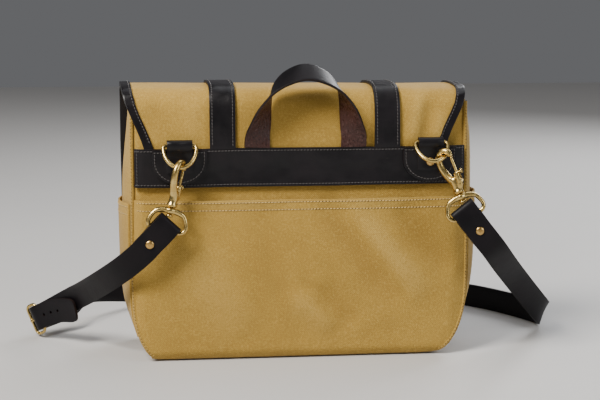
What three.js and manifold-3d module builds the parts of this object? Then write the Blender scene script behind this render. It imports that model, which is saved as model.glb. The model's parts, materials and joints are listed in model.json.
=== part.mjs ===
// Canvas messenger bag with leather trim and brass fittings.
// Millimetres. X runs to the right as the bag's back is looked at, Y from its back to its front, Z up.
// The origin is the middle of the base, on the surface that the bag stands on.
import * as THREE from "three";
import { mergeVertices } from "three/addons/utils/BufferGeometryUtils.js";
import Module from "manifold-3d";

const wasm = await Module();
wasm.setup();
const { Vector2, Vector3 } = THREE;
const { degToRad, lerp, smoothstep } = THREE.MathUtils;

// Sheets and gaps
const CANVAS = 1.8;
const LEATHER = 2.6;
const CLEAR = 0.3; // between pieces that touch
const SEWN = 0.7; // between two canvas faces that are sewn together along a curve

// Body: panels, sides and base
const HALF_WIDTHS = { left: 169, right: 179 }; // middle to each side seam
const BODY_HEIGHT = 268;
const BASE_HALF_DEPTH = 60;
const MOUTH_HALF_DEPTH = 47;
const CORNERS = { left: { run: 30, rise: 62 }, right: { run: 42, rise: 72 } }; // of the bottom
const BELLY = 6; // how far the filled panels swell
const BELLY_TOP = 190;
const EDGE_ROLL = 4.5; // how far the panels turn back at the side seams
const EDGE_START = 156;
const SIDE_TOP = 264;
// The soft sides lean to the right. Each swells fully at a height and less above another.
const SWELL_FROM = 8;
const SWELL_FULL = 95;
const SIDE_SWELL = { left: { most: 11, fade: 185, top: 0.2 }, right: { most: 16, fade: 225, top: 0.5 } };
const PANEL_ROWS = [0, 6, 16, 30, 46, 64, 100, 134, 168, 190, 221, 245, BODY_HEIGHT]; // heights
const PANEL_COLUMNS = [-1, -0.96, -0.924, -0.5, 0, 0.5, 0.88, 0.94, 1]; // shares of the half width
const LAST_COLUMN = PANEL_COLUMNS.length - 1;
const SEAM_STEPS = [6, 8, 4, 8, 6]; // gusset rows in each side, corner and the base

// Pockets
const BACK_POCKET = { foot: 6, top: 168, lift: 8.2, inset: 0.8, sewn: 0.8 };
// Heights of a side pocket's mouth and lower seam, how far its mouth stands open, and its seams.
const SIDE_POCKET = { top: 170, foot: 20, lift: { left: 1.5, right: 3 }, inset: 0.04, sewn: 0.95 };

// Flap: from its root under the band, over the mouth and down the front
const FLAP_OFFSET = SEWN + CANVAS / 2;
const FLAP_ROOT = 186;
const FLAP_EDGE = 105; // height of its front edge
const FLAP_SPARE = 15; // the profile runs on past the front edge
const FLAP_STAND = { most: 2.6, from: 196, to: 222 }; // it stands off the body above these heights
const FLAP_CORNER = 28;
const FLAP_WIDEST = 178; // half
const BINDING = { wall: 1.4, width: 8 };
const FLAP_CROWN = [
  { y: -48.5, z: 275 },
  { y: -40, z: 283 },
  { y: -21, z: 286.5 },
  { y: 0, z: 287 },
  { y: 21, z: 286.5 },
  { y: 40, z: 283 },
  { y: 48.5, z: 275 },
];
const FLAP_WIDTHS = [
  { at: 0, half: 146 },
  { at: 36, half: 155 },
  { at: 54, half: 162 },
  { at: 72, half: 169.4 },
  { at: 82, half: 173.2 },
  { at: 92, half: 176 },
  { at: 102, half: 177.5 },
  { at: 112, half: FLAP_WIDEST },
  { at: 400, half: 177 },
];
const FLAP_SAG = { left: 1.5, right: 7, from: 230, to: 280 }; // its crown is lower at the right
const FLAP_STEPS = [
  { to: 10, step: 10 },
  { to: 36, step: 26 },
  { to: 72, step: 18 },
  { to: 112, step: 10 },
  { to: 172, step: 30 },
  { to: 212, step: 10 },
];

// Leather on the back
const BAND = { foot: 181, top: 221, inset: 2.2 };
const MIDDLE = 9; // the handle, straps and tabs are sewn this far right of the body's middle
const HANDLE = { width: 26.5 };
const CLOSING = { width: 26.4, out: 85.5 };
const TAB = { out: 130, patch: 28, loop: 13, clear: 0.7, sunk: 0.2 };
const TAB_HEIGHTS = { bar: 225.8, foot: 184, waist: 207.8, lap: 197, rivet: 205.2 };

// Brass
const RING = { half: 17, drop: 26, corner: 3, wire: 2.15 };
const HOOK = { root: 3.25, tip: 2.2, reach: 41, ringX: 0.6, boltX: 6.2, boltR: 1.5, barrelR: 3.3 };
const EYE = { bar: -24, wire: 2.15, saddle: 3.2, boss: 4.6, bore: 2.3 };
const PIN = { radius: 1.9, head: 3.3 };
const RIVET = { head: 4.6, post: 1.6, dome: 1.4, tabDepth: 3, strapDepth: 5.2 };
const FRAME = { wire: 1.75, prong: 1.2, room: 3.1 };

// Shoulder strap
const STRAP_WIDTH = 26.5;
const STRAP_HOLE = 1.7; // radius

const canvas = new THREE.MeshStandardMaterial({ color: 0xb38c47, roughness: 0.92, metalness: 0 });
const leather = new THREE.MeshStandardMaterial({ color: 0x1d1615, roughness: 0.42, metalness: 0 });
const brass = new THREE.MeshStandardMaterial({ color: 0xc2a15c, roughness: 0.24, metalness: 1 });

const bag = new THREE.Group();

// Joins shared corners, drops empty triangles and turns the faces outwards.
function closed(geometry) {
  geometry.deleteAttribute("normal");
  geometry.deleteAttribute("uv");
  const whole = mergeVertices(geometry, 1e-4);
  const place = whole.getAttribute("position");
  const corner = whole.index.array;
  const kept = [];
  const [a, b, c] = [new Vector3(), new Vector3(), new Vector3()];
  let volume = 0;
  for (let i = 0; i < corner.length; i += 3) {
    const [p, q, r] = [corner[i], corner[i + 1], corner[i + 2]];
    if (p === q || q === r || r === p) continue;
    kept.push(p, q, r);
    a.fromBufferAttribute(place, p);
    b.fromBufferAttribute(place, q);
    c.fromBufferAttribute(place, r);
    volume += a.dot(b.cross(c));
  }
  if (volume < 0) kept.reverse();
  return whole.setIndex(kept);
}

function solidOf(geometry) {
  const whole = closed(geometry);
  return new wasm.Manifold(
    new wasm.Mesh({
      numProp: 3,
      vertProperties: new Float32Array(whole.getAttribute("position").array),
      triVerts: new Uint32Array(whole.index.array),
    }),
  );
}

function geometryOf(solid) {
  const mesh = solid.getMesh();
  return new THREE.BufferGeometry()
    .setAttribute("position", new THREE.BufferAttribute(mesh.vertProperties, 3))
    .setIndex(new THREE.BufferAttribute(mesh.triVerts, 1));
}

function fused(...geometries) {
  const [first, ...rest] = geometries.map(solidOf);
  return geometryOf(rest.reduce((whole, next) => whole.add(next), first));
}

function cut(geometry, ...tools) {
  const whole = solidOf(geometry);
  return geometryOf(tools.reduce((left, tool) => left.subtract(solidOf(tool)), whole));
}

function add(name, geometry, material, parent = bag) {
  const mesh = new THREE.Mesh(closed(geometry), material);
  mesh.name = name;
  parent.add(mesh);
}

// A sheet of cloth or leather: at(u, v, w) gives the point across, along and through it.
function sheet(across, along, at) {
  const geometry = new THREE.BoxGeometry(1, 1, 1, across, along, 1);
  const place = geometry.getAttribute("position");
  for (let i = 0; i < place.count; i += 1) {
    const point = at(place.getX(i) + 0.5, place.getY(i) + 0.5, place.getZ(i) + 0.5);
    place.setXYZ(i, point.x, point.y, point.z);
  }
  return geometry;
}

// A round rod along an open curve, with a radius that may change along it.
function rod(curve, radiusAt, along, around) {
  const geometry = new THREE.CylinderGeometry(1, 1, 1, around, along);
  const frames = curve.computeFrenetFrames(along, false);
  const place = geometry.getAttribute("position");
  for (let i = 0; i < place.count; i += 1) {
    const t = place.getY(i) + 0.5;
    const step = Math.round(t * along);
    const radius = radiusAt(t);
    const point = curve.getPointAt(t);
    point.addScaledVector(frames.normals[step], radius * place.getX(i));
    point.addScaledVector(frames.binormals[step], radius * place.getZ(i));
    place.setXYZ(i, point.x, point.y, point.z);
  }
  return geometry;
}

// A round wire along a closed curve that lies in the XZ plane.
function wireRing(curve, radius, along, around) {
  const geometry = new THREE.TorusGeometry(1, 0.1, around, along);
  const place = geometry.getAttribute("position");
  const turn = geometry.getAttribute("uv");
  for (let i = 0; i < place.count; i += 1) {
    const t = turn.getX(i) % 1;
    const angle = 2 * Math.PI * turn.getY(i);
    const point = curve.getPointAt(t);
    const tangent = curve.getTangentAt(t);
    const outward = new Vector3(tangent.z, 0, -tangent.x);
    point.addScaledVector(outward, radius * Math.cos(angle));
    point.y += radius * Math.sin(angle);
    place.setXYZ(i, point.x, point.y, point.z);
  }
  return geometry;
}

// A turned piece on the Z axis from rows of radius and height.
function turned(rows, sides) {
  const profile = rows.map((row) => new Vector2(row.r, row.z));
  return new THREE.LatheGeometry(profile, sides).rotateX(Math.PI / 2);
}

function straight(from, to) {
  return new THREE.LineCurve3(from, to);
}

// How wide a strap is at a share of the way along it, as a share of its full width.
function widthAt(rows, v) {
  const at = v * (rows.length - 1);
  const row = Math.min(Math.floor(at), rows.length - 2);
  return lerp(rows[row].wide ?? 1, rows[row + 1].wide ?? 1, at - row);
}

// A flat strap through rows of centre, across, the direction of its width there, and wide, a share of it.
function ribbon({ rows, width, thickness, along }) {
  const centre = new THREE.CatmullRomCurve3(rows.map((row) => row.centre));
  const spread = new THREE.CatmullRomCurve3(rows.map((row) => row.across));
  return sheet(1, along, (u, v, w) => {
    const tangent = centre.getTangent(v);
    const across = spread.getPoint(v);
    across.addScaledVector(tangent, -across.dot(tangent)).normalize();
    const out = new Vector3().crossVectors(tangent, across);
    const point = centre.getPoint(v);
    point.addScaledVector(across, (u - 0.5) * width * widthAt(rows, v));
    return point.addScaledVector(out, (w - 0.5) * thickness);
  });
}

function valueAt(rows, key, column, value) {
  const next = rows.findIndex((row) => row[key] >= value);
  if (next < 0) return rows[rows.length - 1][column];
  if (next === 0) return rows[0][column];
  const [a, b] = [rows[next - 1], rows[next]];
  return lerp(a[column], b[column], (value - a[key]) / (b[key] - a[key]));
}

// Body

function cornerOf(x) {
  return x < 0 ? CORNERS.left : CORNERS.right;
}

function halfWidth(x) {
  return x < 0 ? HALF_WIDTHS.left : HALF_WIDTHS.right;
}

// The x at a share of the way from the body's middle to a side seam.
function panelX(share, z) {
  const { run, rise } = cornerOf(share);
  const drop = Math.max(0, 1 - z / rise);
  return share * (halfWidth(share) - run * (1 - Math.sqrt(1 - drop * drop)));
}

// From the middle plane to the outer face of the back or front panel.
function halfDepth(x, z) {
  const taper = lerp(BASE_HALF_DEPTH, MOUTH_HALF_DEPTH, z / BODY_HEIGHT);
  const rise = Math.sin((Math.PI * Math.min(z, BELLY_TOP)) / BELLY_TOP) ** 2;
  const belly = BELLY * rise * (1 - (x / halfWidth(x)) ** 2);
  const roll = EDGE_ROLL * (Math.max(0, Math.abs(x) - EDGE_START) / (halfWidth(x) - EDGE_START)) ** 2;
  return taper + belly - roll;
}

function columnAt(u) {
  return PANEL_COLUMNS[Math.round(u * LAST_COLUMN)];
}

function panel(side) {
  const last = PANEL_ROWS.length - 1;
  return sheet(LAST_COLUMN, last, (u, v, w) => {
    const z = PANEL_ROWS[Math.round(v * last)];
    const x = panelX(columnAt(u), z);
    return new Vector3(x, side * (halfDepth(x, z) - CANVAS * (1 - w)), z);
  });
}

function bottomCorner(side, from, to) {
  const { run, rise } = cornerOf(side);
  return new THREE.EllipseCurve(side * (halfWidth(side) - run), rise, run, rise, from * Math.PI, to * Math.PI);
}

function seamStretch(x0, z0, x1, z1) {
  return new THREE.LineCurve(new Vector2(x0, z0), new Vector2(x1, z1));
}

// The line that the gusset follows: down the left side, along the base and up the right side.
const seamLine = new THREE.CurvePath();
seamLine.add(seamStretch(-HALF_WIDTHS.left, SIDE_TOP, -HALF_WIDTHS.left, CORNERS.left.rise));
seamLine.add(bottomCorner(-1, 1, 1.5));
seamLine.add(seamStretch(CORNERS.left.run - HALF_WIDTHS.left, 0, HALF_WIDTHS.right - CORNERS.right.run, 0));
seamLine.add(bottomCorner(1, 1.5, 2));
seamLine.add(seamStretch(HALF_WIDTHS.right, CORNERS.right.rise, HALF_WIDTHS.right, SIDE_TOP));

// Stations along the seam line at which the gusset and the side pockets have a row.
function seamStations() {
  const ends = [0, ...seamLine.getCurveLengths()];
  const whole = seamLine.getLength();
  const stations = SEAM_STEPS.flatMap((steps, i) =>
    Array.from({ length: steps }, (_, step) => lerp(ends[i], ends[i + 1], step / steps) / whole),
  );
  return [...stations, 1];
}

const SEAM_STATIONS = seamStations();

function gussetSwell(x, z) {
  const { most, fade, top } = x < 0 ? SIDE_SWELL.left : SIDE_SWELL.right;
  return most * smoothstep(z, SWELL_FROM, SWELL_FULL) * lerp(1, top, smoothstep(z, fade, SIDE_TOP));
}

// A point on the gusset: t along the seam line, v from the back seam to the front one.
function gussetPoint(t, v, out) {
  const seam = seamLine.getPoint(t);
  const run = seamLine.getTangent(t);
  const reach = halfDepth(seam.x, seam.y) - CANVAS - CLEAR - 0.2;
  const off = out + gussetSwell(seam.x, seam.y) * (1 - (2 * v - 1) ** 2);
  return new Vector3(seam.x + run.y * off, lerp(-reach, reach, v), seam.y - run.x * off);
}

function gusset() {
  const last = SEAM_STATIONS.length - 1;
  return sheet(4, last, (u, v, w) => gussetPoint(SEAM_STATIONS[Math.round(v * last)], u, -CANVAS * (1 - w)));
}

function sidePocket(side) {
  const rows = SEAM_STATIONS.filter((t) => {
    const { x, y: height } = seamLine.getPoint(t);
    return (side === "left") === x < 0 && height > SIDE_POCKET.foot && height < SIDE_POCKET.top;
  });
  if (side === "left") rows.reverse();
  const last = rows.length - 1;
  return sheet(4, last, (u, v, w) => {
    const across = lerp(SIDE_POCKET.inset, 1 - SIDE_POCKET.inset, u);
    const lift = SIDE_POCKET.lift[side] * Math.sin(Math.PI * u) * v;
    return gussetPoint(rows[Math.round(v * last)], across, SIDE_POCKET.sewn + lift + CANVAS * (1 - w));
  });
}

function backPocket() {
  const rows = PANEL_ROWS.filter((z) => z >= BACK_POCKET.foot && z <= BACK_POCKET.top);
  const last = rows.length - 1;
  return sheet(LAST_COLUMN, last, (u, v, w) => {
    const z = rows[Math.round(v * last)];
    const x = panelX(columnAt(u), z) - columnAt(u) * BACK_POCKET.inset;
    const lift = BACK_POCKET.lift * Math.sqrt(Math.sin(Math.PI * u)) * (z / BACK_POCKET.top);
    return new Vector3(x, -(halfDepth(x, z) + BACK_POCKET.sewn + lift + CANVAS * (1 - w)), z);
  });
}

add("back_panel", panel(-1), canvas);
add("front_panel", panel(1), canvas);
add("gusset", gusset(), canvas);
add("back_pocket", backPocket(), canvas);
add("side_pocket_left", sidePocket("left"), canvas);
add("side_pocket_right", sidePocket("right"), canvas);

// Flap

function flapStand(z) {
  const { most, from, to } = FLAP_STAND;
  return most * THREE.MathUtils.clamp((z - from) / (to - from), 0, 1);
}

function flapProfile() {
  const rise = [FLAP_ROOT, FLAP_STAND.from, 206, 216, FLAP_STAND.to, 244, 262];
  const fall = [262, 240, 210, 180, 150, 125, FLAP_EDGE, FLAP_EDGE - FLAP_SPARE];
  const front = FLAP_OFFSET + FLAP_STAND.most;
  return new THREE.CatmullRomCurve3([
    ...rise.map((z) => new Vector3(0, -(halfDepth(0, z) + FLAP_OFFSET + flapStand(z)), z)),
    ...FLAP_CROWN.map((row) => new Vector3(0, row.y, row.z)),
    ...fall.map((z) => new Vector3(0, halfDepth(0, z) + front, z)),
  ]);
}

const flapCurve = flapProfile();
const FLAP_RUN = flapCurve.getLength();
const FLAP_LENGTH = FLAP_RUN - FLAP_SPARE;

// Distances along the flap at which it and all that lies on it have a row, close together in the two rolls.
function flapRows(from, to) {
  const steps = [...FLAP_STEPS, { to: FLAP_LENGTH - 30, step: 26 }, { to: FLAP_LENGTH - 1, step: 6 }];
  const rows = [];
  let at = 0;
  for (const { to: end, step } of steps) {
    for (; at < end; at += step) rows.push(at);
  }
  return [from, ...rows.filter((row) => row > from + 2 && row < to - 2), to];
}

// A point at x and at a distance along the flap, out from the middle of its cloth.
function flapPoint(x, at, out) {
  const point = flapCurve.getPointAt(at / FLAP_RUN);
  const run = flapCurve.getTangentAt(at / FLAP_RUN);
  const lean = lerp(FLAP_SAG.left, FLAP_SAG.right, 0.5 + x / (4 * FLAP_WIDEST));
  const sag = lean * smoothstep(point.z, FLAP_SAG.from, FLAP_SAG.to);
  return new Vector3(x, point.y - run.z * out, point.z - sag + run.y * out);
}

// Half of the flap's width, for an outline moved out by grow, with round front corners.
function flapReach(at, grow) {
  const half = valueAt(FLAP_WIDTHS, "at", "half", at) + grow;
  const radius = FLAP_CORNER + grow;
  const past = Math.max(0, radius - (FLAP_LENGTH + grow - at));
  return half - radius + Math.sqrt(Math.max(0, radius * radius - past * past));
}

function flapSheet({ from, grow, inner, outer, across }) {
  const rows = flapRows(from, FLAP_LENGTH + grow);
  const last = rows.length - 1;
  return sheet(across, last, (u, v, w) => {
    const at = rows[Math.round(v * last)];
    return flapPoint((2 * u - 1) * flapReach(at, grow), at, lerp(inner, outer, w));
  });
}

function flapBinding() {
  const half = CANVAS / 2 + CLEAR;
  const from = FLAP_STAND.to - FLAP_ROOT;
  const outside = half + BINDING.wall;
  const whole = flapSheet({ from, grow: CLEAR + BINDING.wall, inner: -outside, outer: outside, across: 2 });
  const core = flapSheet({ from: from - 3, grow: -BINDING.width, inner: -9, outer: 9, across: 2 });
  const slot = flapSheet({ from: from - 3, grow: CLEAR, inner: -half, outer: half, across: 2 });
  return cut(whole, core, slot);
}

add("flap", flapSheet({ from: 0, grow: 0, inner: -CANVAS / 2, outer: CANVAS / 2, across: 2 }), canvas);
add("flap_binding", flapBinding(), leather);

// Leather band across the back

const BAND_OFFSET = SEWN + CANVAS + CLEAR;

function backBand() {
  const rows = [BAND.foot, FLAP_STAND.from, 208, BAND.top];
  const last = rows.length - 1;
  return sheet(LAST_COLUMN, last, (u, v, w) => {
    const x = columnAt(u) * (halfWidth(columnAt(u)) - BAND.inset);
    const z = rows[Math.round(v * last)];
    return new Vector3(x, -(halfDepth(x, z) + BAND_OFFSET + flapStand(z) + LEATHER * w), z);
  });
}

add("back_band", backBand(), leather);

// Handle: a flat strap that turns over on its way up, so that its smooth face is up at the top.
// Each row is a line across it, from the edge away from the bag (0) to the one near the bag (1).
const HANDLE_ROWS = [
  { out0: 63.2, y0: -56.3, z0: 223, out1: 36.8, y1: -56.3, z1: 223 },
  { out0: 62, y0: -62.5, z0: 234, out1: 37.6, y1: -55.8, z1: 233.5 },
  { out0: 57.6, y0: -69.5, z0: 245, out1: 36.4, y1: -55.2, z1: 244.5 },
  { out0: 51.5, y0: -75.3, z0: 259, out1: 36.2, y1: -54.6, z1: 258.5 },
  { out0: 42.7, y0: -79.2, z0: 270.8, out1: 35.6, y1: -54.6, z1: 271.5 },
  { out0: 33.5, y0: -81, z0: 280, out1: 33.6, y1: -55, z1: 283 },
  { out0: 20, y0: -81, z0: 287, out1: 24.5, y1: -56, z1: 296.4 },
  { out0: 7, y0: -80.5, z0: 291, out1: 9, y1: -57.6, z1: 304.8 },
  { out0: 0, y0: -80.5, z0: 291.6, out1: 0, y1: -58, z1: 306.2 },
];

function handle() {
  const lineAcross = (side) => (row) => {
    const outer = new Vector3(MIDDLE + side * row.out0, row.y0, row.z0);
    const inner = new Vector3(MIDDLE + side * row.out1, row.y1, row.z1);
    return { centre: outer.clone().lerp(inner, 0.5), across: inner.sub(outer) };
  };
  const left = HANDLE_ROWS.map(lineAcross(-1));
  const right = HANDLE_ROWS.slice(0, -1).reverse().map(lineAcross(1));
  return ribbon({ rows: [...left, ...right], width: HANDLE.width, thickness: LEATHER, along: 32 });
}

add("handle", handle(), leather);

// Closing straps over the flap, each through a buckle that a chape holds on the front

const HEEL = { z: 66, out: SEWN + LEATHER + CLEAR + FRAME.wire };
const TOP_BAR = { z: 88, out: 10.8 };
const CHAPE_RADIUS = FRAME.wire + CLEAR + LEATHER / 2;

function onFront(x, out, z) {
  return new Vector3(x, halfDepth(x, z) + out, z);
}

function closingStrap(x) {
  const from = FLAP_STAND.to - FLAP_ROOT;
  const across = new Vector3(1, 0, 0);
  const onFlap = flapRows(from, FLAP_LENGTH).map((at) => {
    const lift = (BINDING.wall + CLEAR) * smoothstep(at, FLAP_LENGTH - 32, FLAP_LENGTH - 14);
    return flapPoint(x, at, CANVAS / 2 + CLEAR + lift + CLEAR + LEATHER / 2);
  });
  const below = [
    { z: 97, out: 8.3 },
    { z: TOP_BAR.z, out: 7.2 },
    { z: 81, out: 8.4 },
    { z: 74, out: 10.6 },
    { z: HEEL.z, out: 12 },
    { z: 56, out: 11 },
    { z: 46, out: 9 },
    { z: 38, out: 8.4 },
    { z: 35, out: 8.3, wide: 0.55 },
  ].map((row) => ({ centre: onFront(x, row.out, row.z), across, wide: row.wide }));
  const rows = [...onFlap.map((centre) => ({ centre, across })), ...below];
  return ribbon({ rows, width: CLOSING.width, thickness: LEATHER, along: rows.length - 1 });
}

function chape(x) {
  const across = new Vector3(1, 0, 0);
  const back = [30, 46, 58].map((z) => ({ z, out: SEWN + LEATHER / 2 }));
  const fold = [180, 135, 90, 45, 0].map((angle) => ({
    z: HEEL.z + CHAPE_RADIUS * Math.sin(degToRad(angle)),
    out: HEEL.out + CHAPE_RADIUS * Math.cos(degToRad(angle)),
  }));
  const front = [
    { z: 58, out: HEEL.out + 2 },
    { z: 50, out: SEWN + 1.5 * LEATHER + CLEAR },
    { z: 38, out: SEWN + 1.5 * LEATHER + CLEAR },
  ];
  const rows = [...back, ...fold, ...front].map((row) => ({ centre: onFront(x, row.out, row.z), across }));
  return ribbon({ rows, width: CLOSING.width - 1, thickness: LEATHER, along: 16 });
}

// A buckle's frame in the XZ plane, its heel bar on the X axis and its top bar at a height, with its prong.
function buckleFrame(half, height) {
  const round = 3;
  const path = new THREE.Path()
    .moveTo(round - half, 0)
    .lineTo(half - round, 0)
    .absarc(half - round, round, round, -0.5 * Math.PI, 0, false)
    .lineTo(half, height - round)
    .absarc(half - round, height - round, round, 0, 0.5 * Math.PI, false)
    .lineTo(round - half, height)
    .absarc(round - half, height - round, round, 0.5 * Math.PI, Math.PI, false)
    .lineTo(-half, round)
    .absarc(round - half, round, round, Math.PI, 1.5 * Math.PI, false);
  const ring = wireRing(spacePath(path), FRAME.wire, 24, 6);
  return fused(ring, prong(height, FRAME.prong));
}

// The prong from the heel bar to the near side of the top bar, towards -Y.
function prong(height, radius) {
  const tip = FRAME.wire + FRAME.prong - 0.4;
  return rod(straight(new Vector3(0, 0, 0), new Vector3(0, -tip, height + 0.6)), () => radius, 1, 8);
}

// A flat path as a space curve in the XZ plane.
function spacePath(path) {
  const curve = new THREE.Curve();
  curve.getPoint = (t, target = new Vector3()) => {
    const point = path.getPoint(t);
    return target.set(point.x, 0, point.y);
  };
  return curve;
}

for (const [side, sign] of [["left", -1], ["right", 1]]) {
  const x = MIDDLE + sign * CLOSING.out;
  const heel = onFront(x, HEEL.out, HEEL.z);
  const top = onFront(x, TOP_BAR.out, TOP_BAR.z);
  const height = heel.distanceTo(top);
  const place = new THREE.Group();
  place.position.copy(heel);
  place.rotation.set(-Math.asin((top.y - heel.y) / height), 0, Math.PI);
  place.updateMatrixWorld(true);
  const slot = prong(height, FRAME.prong + CLEAR).applyMatrix4(place.matrixWorld);
  const slotForChape = slot.clone();
  add("closing_strap_" + side, cut(closingStrap(x), slot), leather);
  add("chape_" + side, cut(chape(x), slotForChape), leather);
  add("closing_buckle_" + side, buckleFrame(CLOSING.width / 2 + FRAME.room, height), brass, place);
  bag.add(place);
}

// Tabs with D-rings at the ends of the band

const PATCH_OUT = BAND_OFFSET + LEATHER + flapStand(BAND.top) + TAB.clear;
const PATCH_LEAN = Math.atan(
  (BASE_HALF_DEPTH - MOUTH_HALF_DEPTH) / BODY_HEIGHT - flapStand(BAND.top) / (BAND.top - TAB_HEIGHTS.foot),
);
const BAR_OUT = LEATHER + CLEAR + RING.wire; // from the patch's back face to the ring's bar

// The tab in its own frame: X across, -Y out from the band, Z up, with the ring's bar over the origin.
function ringTab() {
  const foot = TAB_HEIGHTS.foot - TAB_HEIGHTS.bar;
  const shoulder = BAND.top - TAB_HEIGHTS.bar - 1;
  const waist = TAB_HEIGHTS.waist - TAB_HEIGHTS.bar;
  const patch = new THREE.Shape()
    .moveTo(-TAB.loop, 0)
    .lineTo(-TAB.loop, shoulder)
    .lineTo(-TAB.patch, shoulder)
    .lineTo(-TAB.patch, waist)
    .absellipse(0, waist, TAB.patch, waist - foot, Math.PI, 2 * Math.PI, false)
    .lineTo(TAB.patch, shoulder)
    .lineTo(TAB.loop, shoulder)
    .lineTo(TAB.loop, 0);
  const plate = new THREE.ExtrudeGeometry(patch, { depth: LEATHER, bevelEnabled: false, curveSegments: 10 });
  plate.rotateX(Math.PI / 2);
  const radius = RING.wire + CLEAR + LEATHER / 2;
  const over = [0, 30, 60, 90, 120, 150, 180].map((angle) => ({
    y: -BAR_OUT + radius * Math.cos(degToRad(angle)),
    z: radius * Math.sin(degToRad(angle)),
  }));
  const down = [
    { y: -BAR_OUT - radius + 0.7, z: -5 },
    { y: -1.5 * LEATHER - 0.4, z: -12 },
    { y: -1.5 * LEATHER + TAB.sunk, z: -17 },
    { y: -1.5 * LEATHER + TAB.sunk, z: TAB_HEIGHTS.lap - TAB_HEIGHTS.bar },
  ];
  const across = new Vector3(1, 0, 0);
  const start = { y: -LEATHER / 2, z: -4 };
  const rows = [start, ...over, ...down].map((row) => ({ centre: new Vector3(0, row.y, row.z), across }));
  const loop = ribbon({ rows, width: 2 * TAB.loop, thickness: LEATHER, along: 22 });
  return fused(plate, loop);
}

function dRing() {
  const bow = RING.drop - RING.corner;
  const path = new THREE.Path()
    .moveTo(RING.corner - RING.half, 0)
    .lineTo(RING.half - RING.corner, 0)
    .absarc(RING.half - RING.corner, -RING.corner, RING.corner, 0.5 * Math.PI, 0, true)
    .absellipse(0, -RING.corner, RING.half, bow, 0, -Math.PI, true)
    .absarc(RING.corner - RING.half, -RING.corner, RING.corner, Math.PI, 0.5 * Math.PI, true);
  return wireRing(spacePath(path), RING.wire, 28, 6);
}

// A rivet on the Z axis with its post below a domed head that sits at height 0.
function rivet(depth) {
  return turned(
    [
      { r: 0, z: -depth },
      { r: RIVET.post, z: -depth },
      { r: RIVET.post, z: 0 },
      { r: RIVET.head, z: 0 },
      { r: RIVET.head * 0.92, z: RIVET.dome * 0.5 },
      { r: RIVET.head * 0.6, z: RIVET.dome },
      { r: 0, z: RIVET.dome * 1.15 },
    ],
    12,
  );
}

// A group whose Z axis runs along up and whose Y axis lies as near as it can to facing.
function placed(position, up, facing, parent = bag) {
  const z = up.clone().normalize();
  const x = new Vector3().crossVectors(facing, z).normalize();
  const y = new Vector3().crossVectors(z, x);
  const group = new THREE.Group();
  group.position.copy(position);
  group.quaternion.setFromRotationMatrix(new THREE.Matrix4().makeBasis(x, y, z));
  parent.add(group);
  group.updateMatrixWorld(true);
  return group;
}

// Snap hooks: an arm bends over the ring, and a bolt slides in a barrel beside the shank to close the gap

const ARM_ROWS = [
  { x: -0.5, z: 12 },
  { x: -4.3, z: 19 },
  { x: -7.4, z: 27 },
  { x: -8.6, z: 34 },
  { x: -7.4, z: 41.4 },
  { x: -1.2, z: 47.4 },
  { x: 5, z: 45 },
  { x: HOOK.boltX, z: 38.6 },
];
const BARREL = { foot: 11, top: 23, floor: 10.5, slot: 12.5 };
const BOLT = { foot: 18.5, top: 38.2, knob: 21.5, knobX: 12.8 };

function inPlane(x, z) {
  return new Vector3(x, 0, z);
}

function hook() {
  const shank = turned(
    [
      { r: 0, z: -9.2 },
      { r: PIN.head, z: -9.2 },
      { r: PIN.head, z: -7.4 },
      { r: PIN.radius, z: -6.7 },
      { r: PIN.radius, z: 0 },
      { r: 5, z: 0 },
      { r: 5.2, z: 2 },
      { r: 4.4, z: 4 },
      { r: 3.6, z: 5.4 },
      { r: 4, z: 12 },
      { r: 3.6, z: 17 },
      { r: 0, z: 19 },
    ],
    10,
  );
  const arm = rod(
    new THREE.CatmullRomCurve3(ARM_ROWS.map((row) => inPlane(row.x, row.z))),
    (t) => lerp(HOOK.root, HOOK.tip, t ** 1.5),
    14,
    8,
  );
  const neck = rod(
    straight(inPlane(2, 4.5), inPlane(HOOK.boltX, BARREL.foot + 2)),
    (t) => lerp(2, HOOK.barrelR, t),
    1,
    10,
  );
  const barrel = rod(
    straight(inPlane(HOOK.boltX, BARREL.foot), inPlane(HOOK.boltX, BARREL.top)),
    () => HOOK.barrelR,
    1,
    10,
  );
  const bore = rod(
    straight(inPlane(HOOK.boltX, BARREL.floor), inPlane(HOOK.boltX, BARREL.top + 14)),
    () => HOOK.boltR + CLEAR,
    1,
    10,
  );
  const slotHeight = BARREL.top + 2 - BARREL.slot;
  const slot = new THREE.BoxGeometry(8, 3.2, slotHeight);
  slot.translate(HOOK.boltX + 4, 0, BARREL.slot + slotHeight / 2);
  return cut(fused(shank, arm, neck, barrel), bore, slot);
}

function bolt() {
  const pin = rod(
    straight(inPlane(HOOK.boltX, BOLT.foot), inPlane(HOOK.boltX, BOLT.top)),
    () => HOOK.boltR,
    1,
    10,
  );
  const stem = rod(
    straight(inPlane(HOOK.boltX, BOLT.knob), inPlane(BOLT.knobX - 1, BOLT.knob)),
    () => 1.2,
    1,
    8,
  );
  const knob = rod(
    straight(inPlane(BOLT.knobX - 2, BOLT.knob), inPlane(BOLT.knobX, BOLT.knob)),
    () => 2.2,
    1,
    10,
  );
  return fused(pin, stem, knob);
}

const EYE_HALF = [
  { x: 9, z: -3.8 },
  { x: 14.8, z: -6.6 },
  { x: 17.8, z: -11.4 },
  { x: 19.8, z: -17.4 },
  { x: 18.6, z: -22 },
  { x: 14.8, z: EYE.bar },
];

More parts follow.
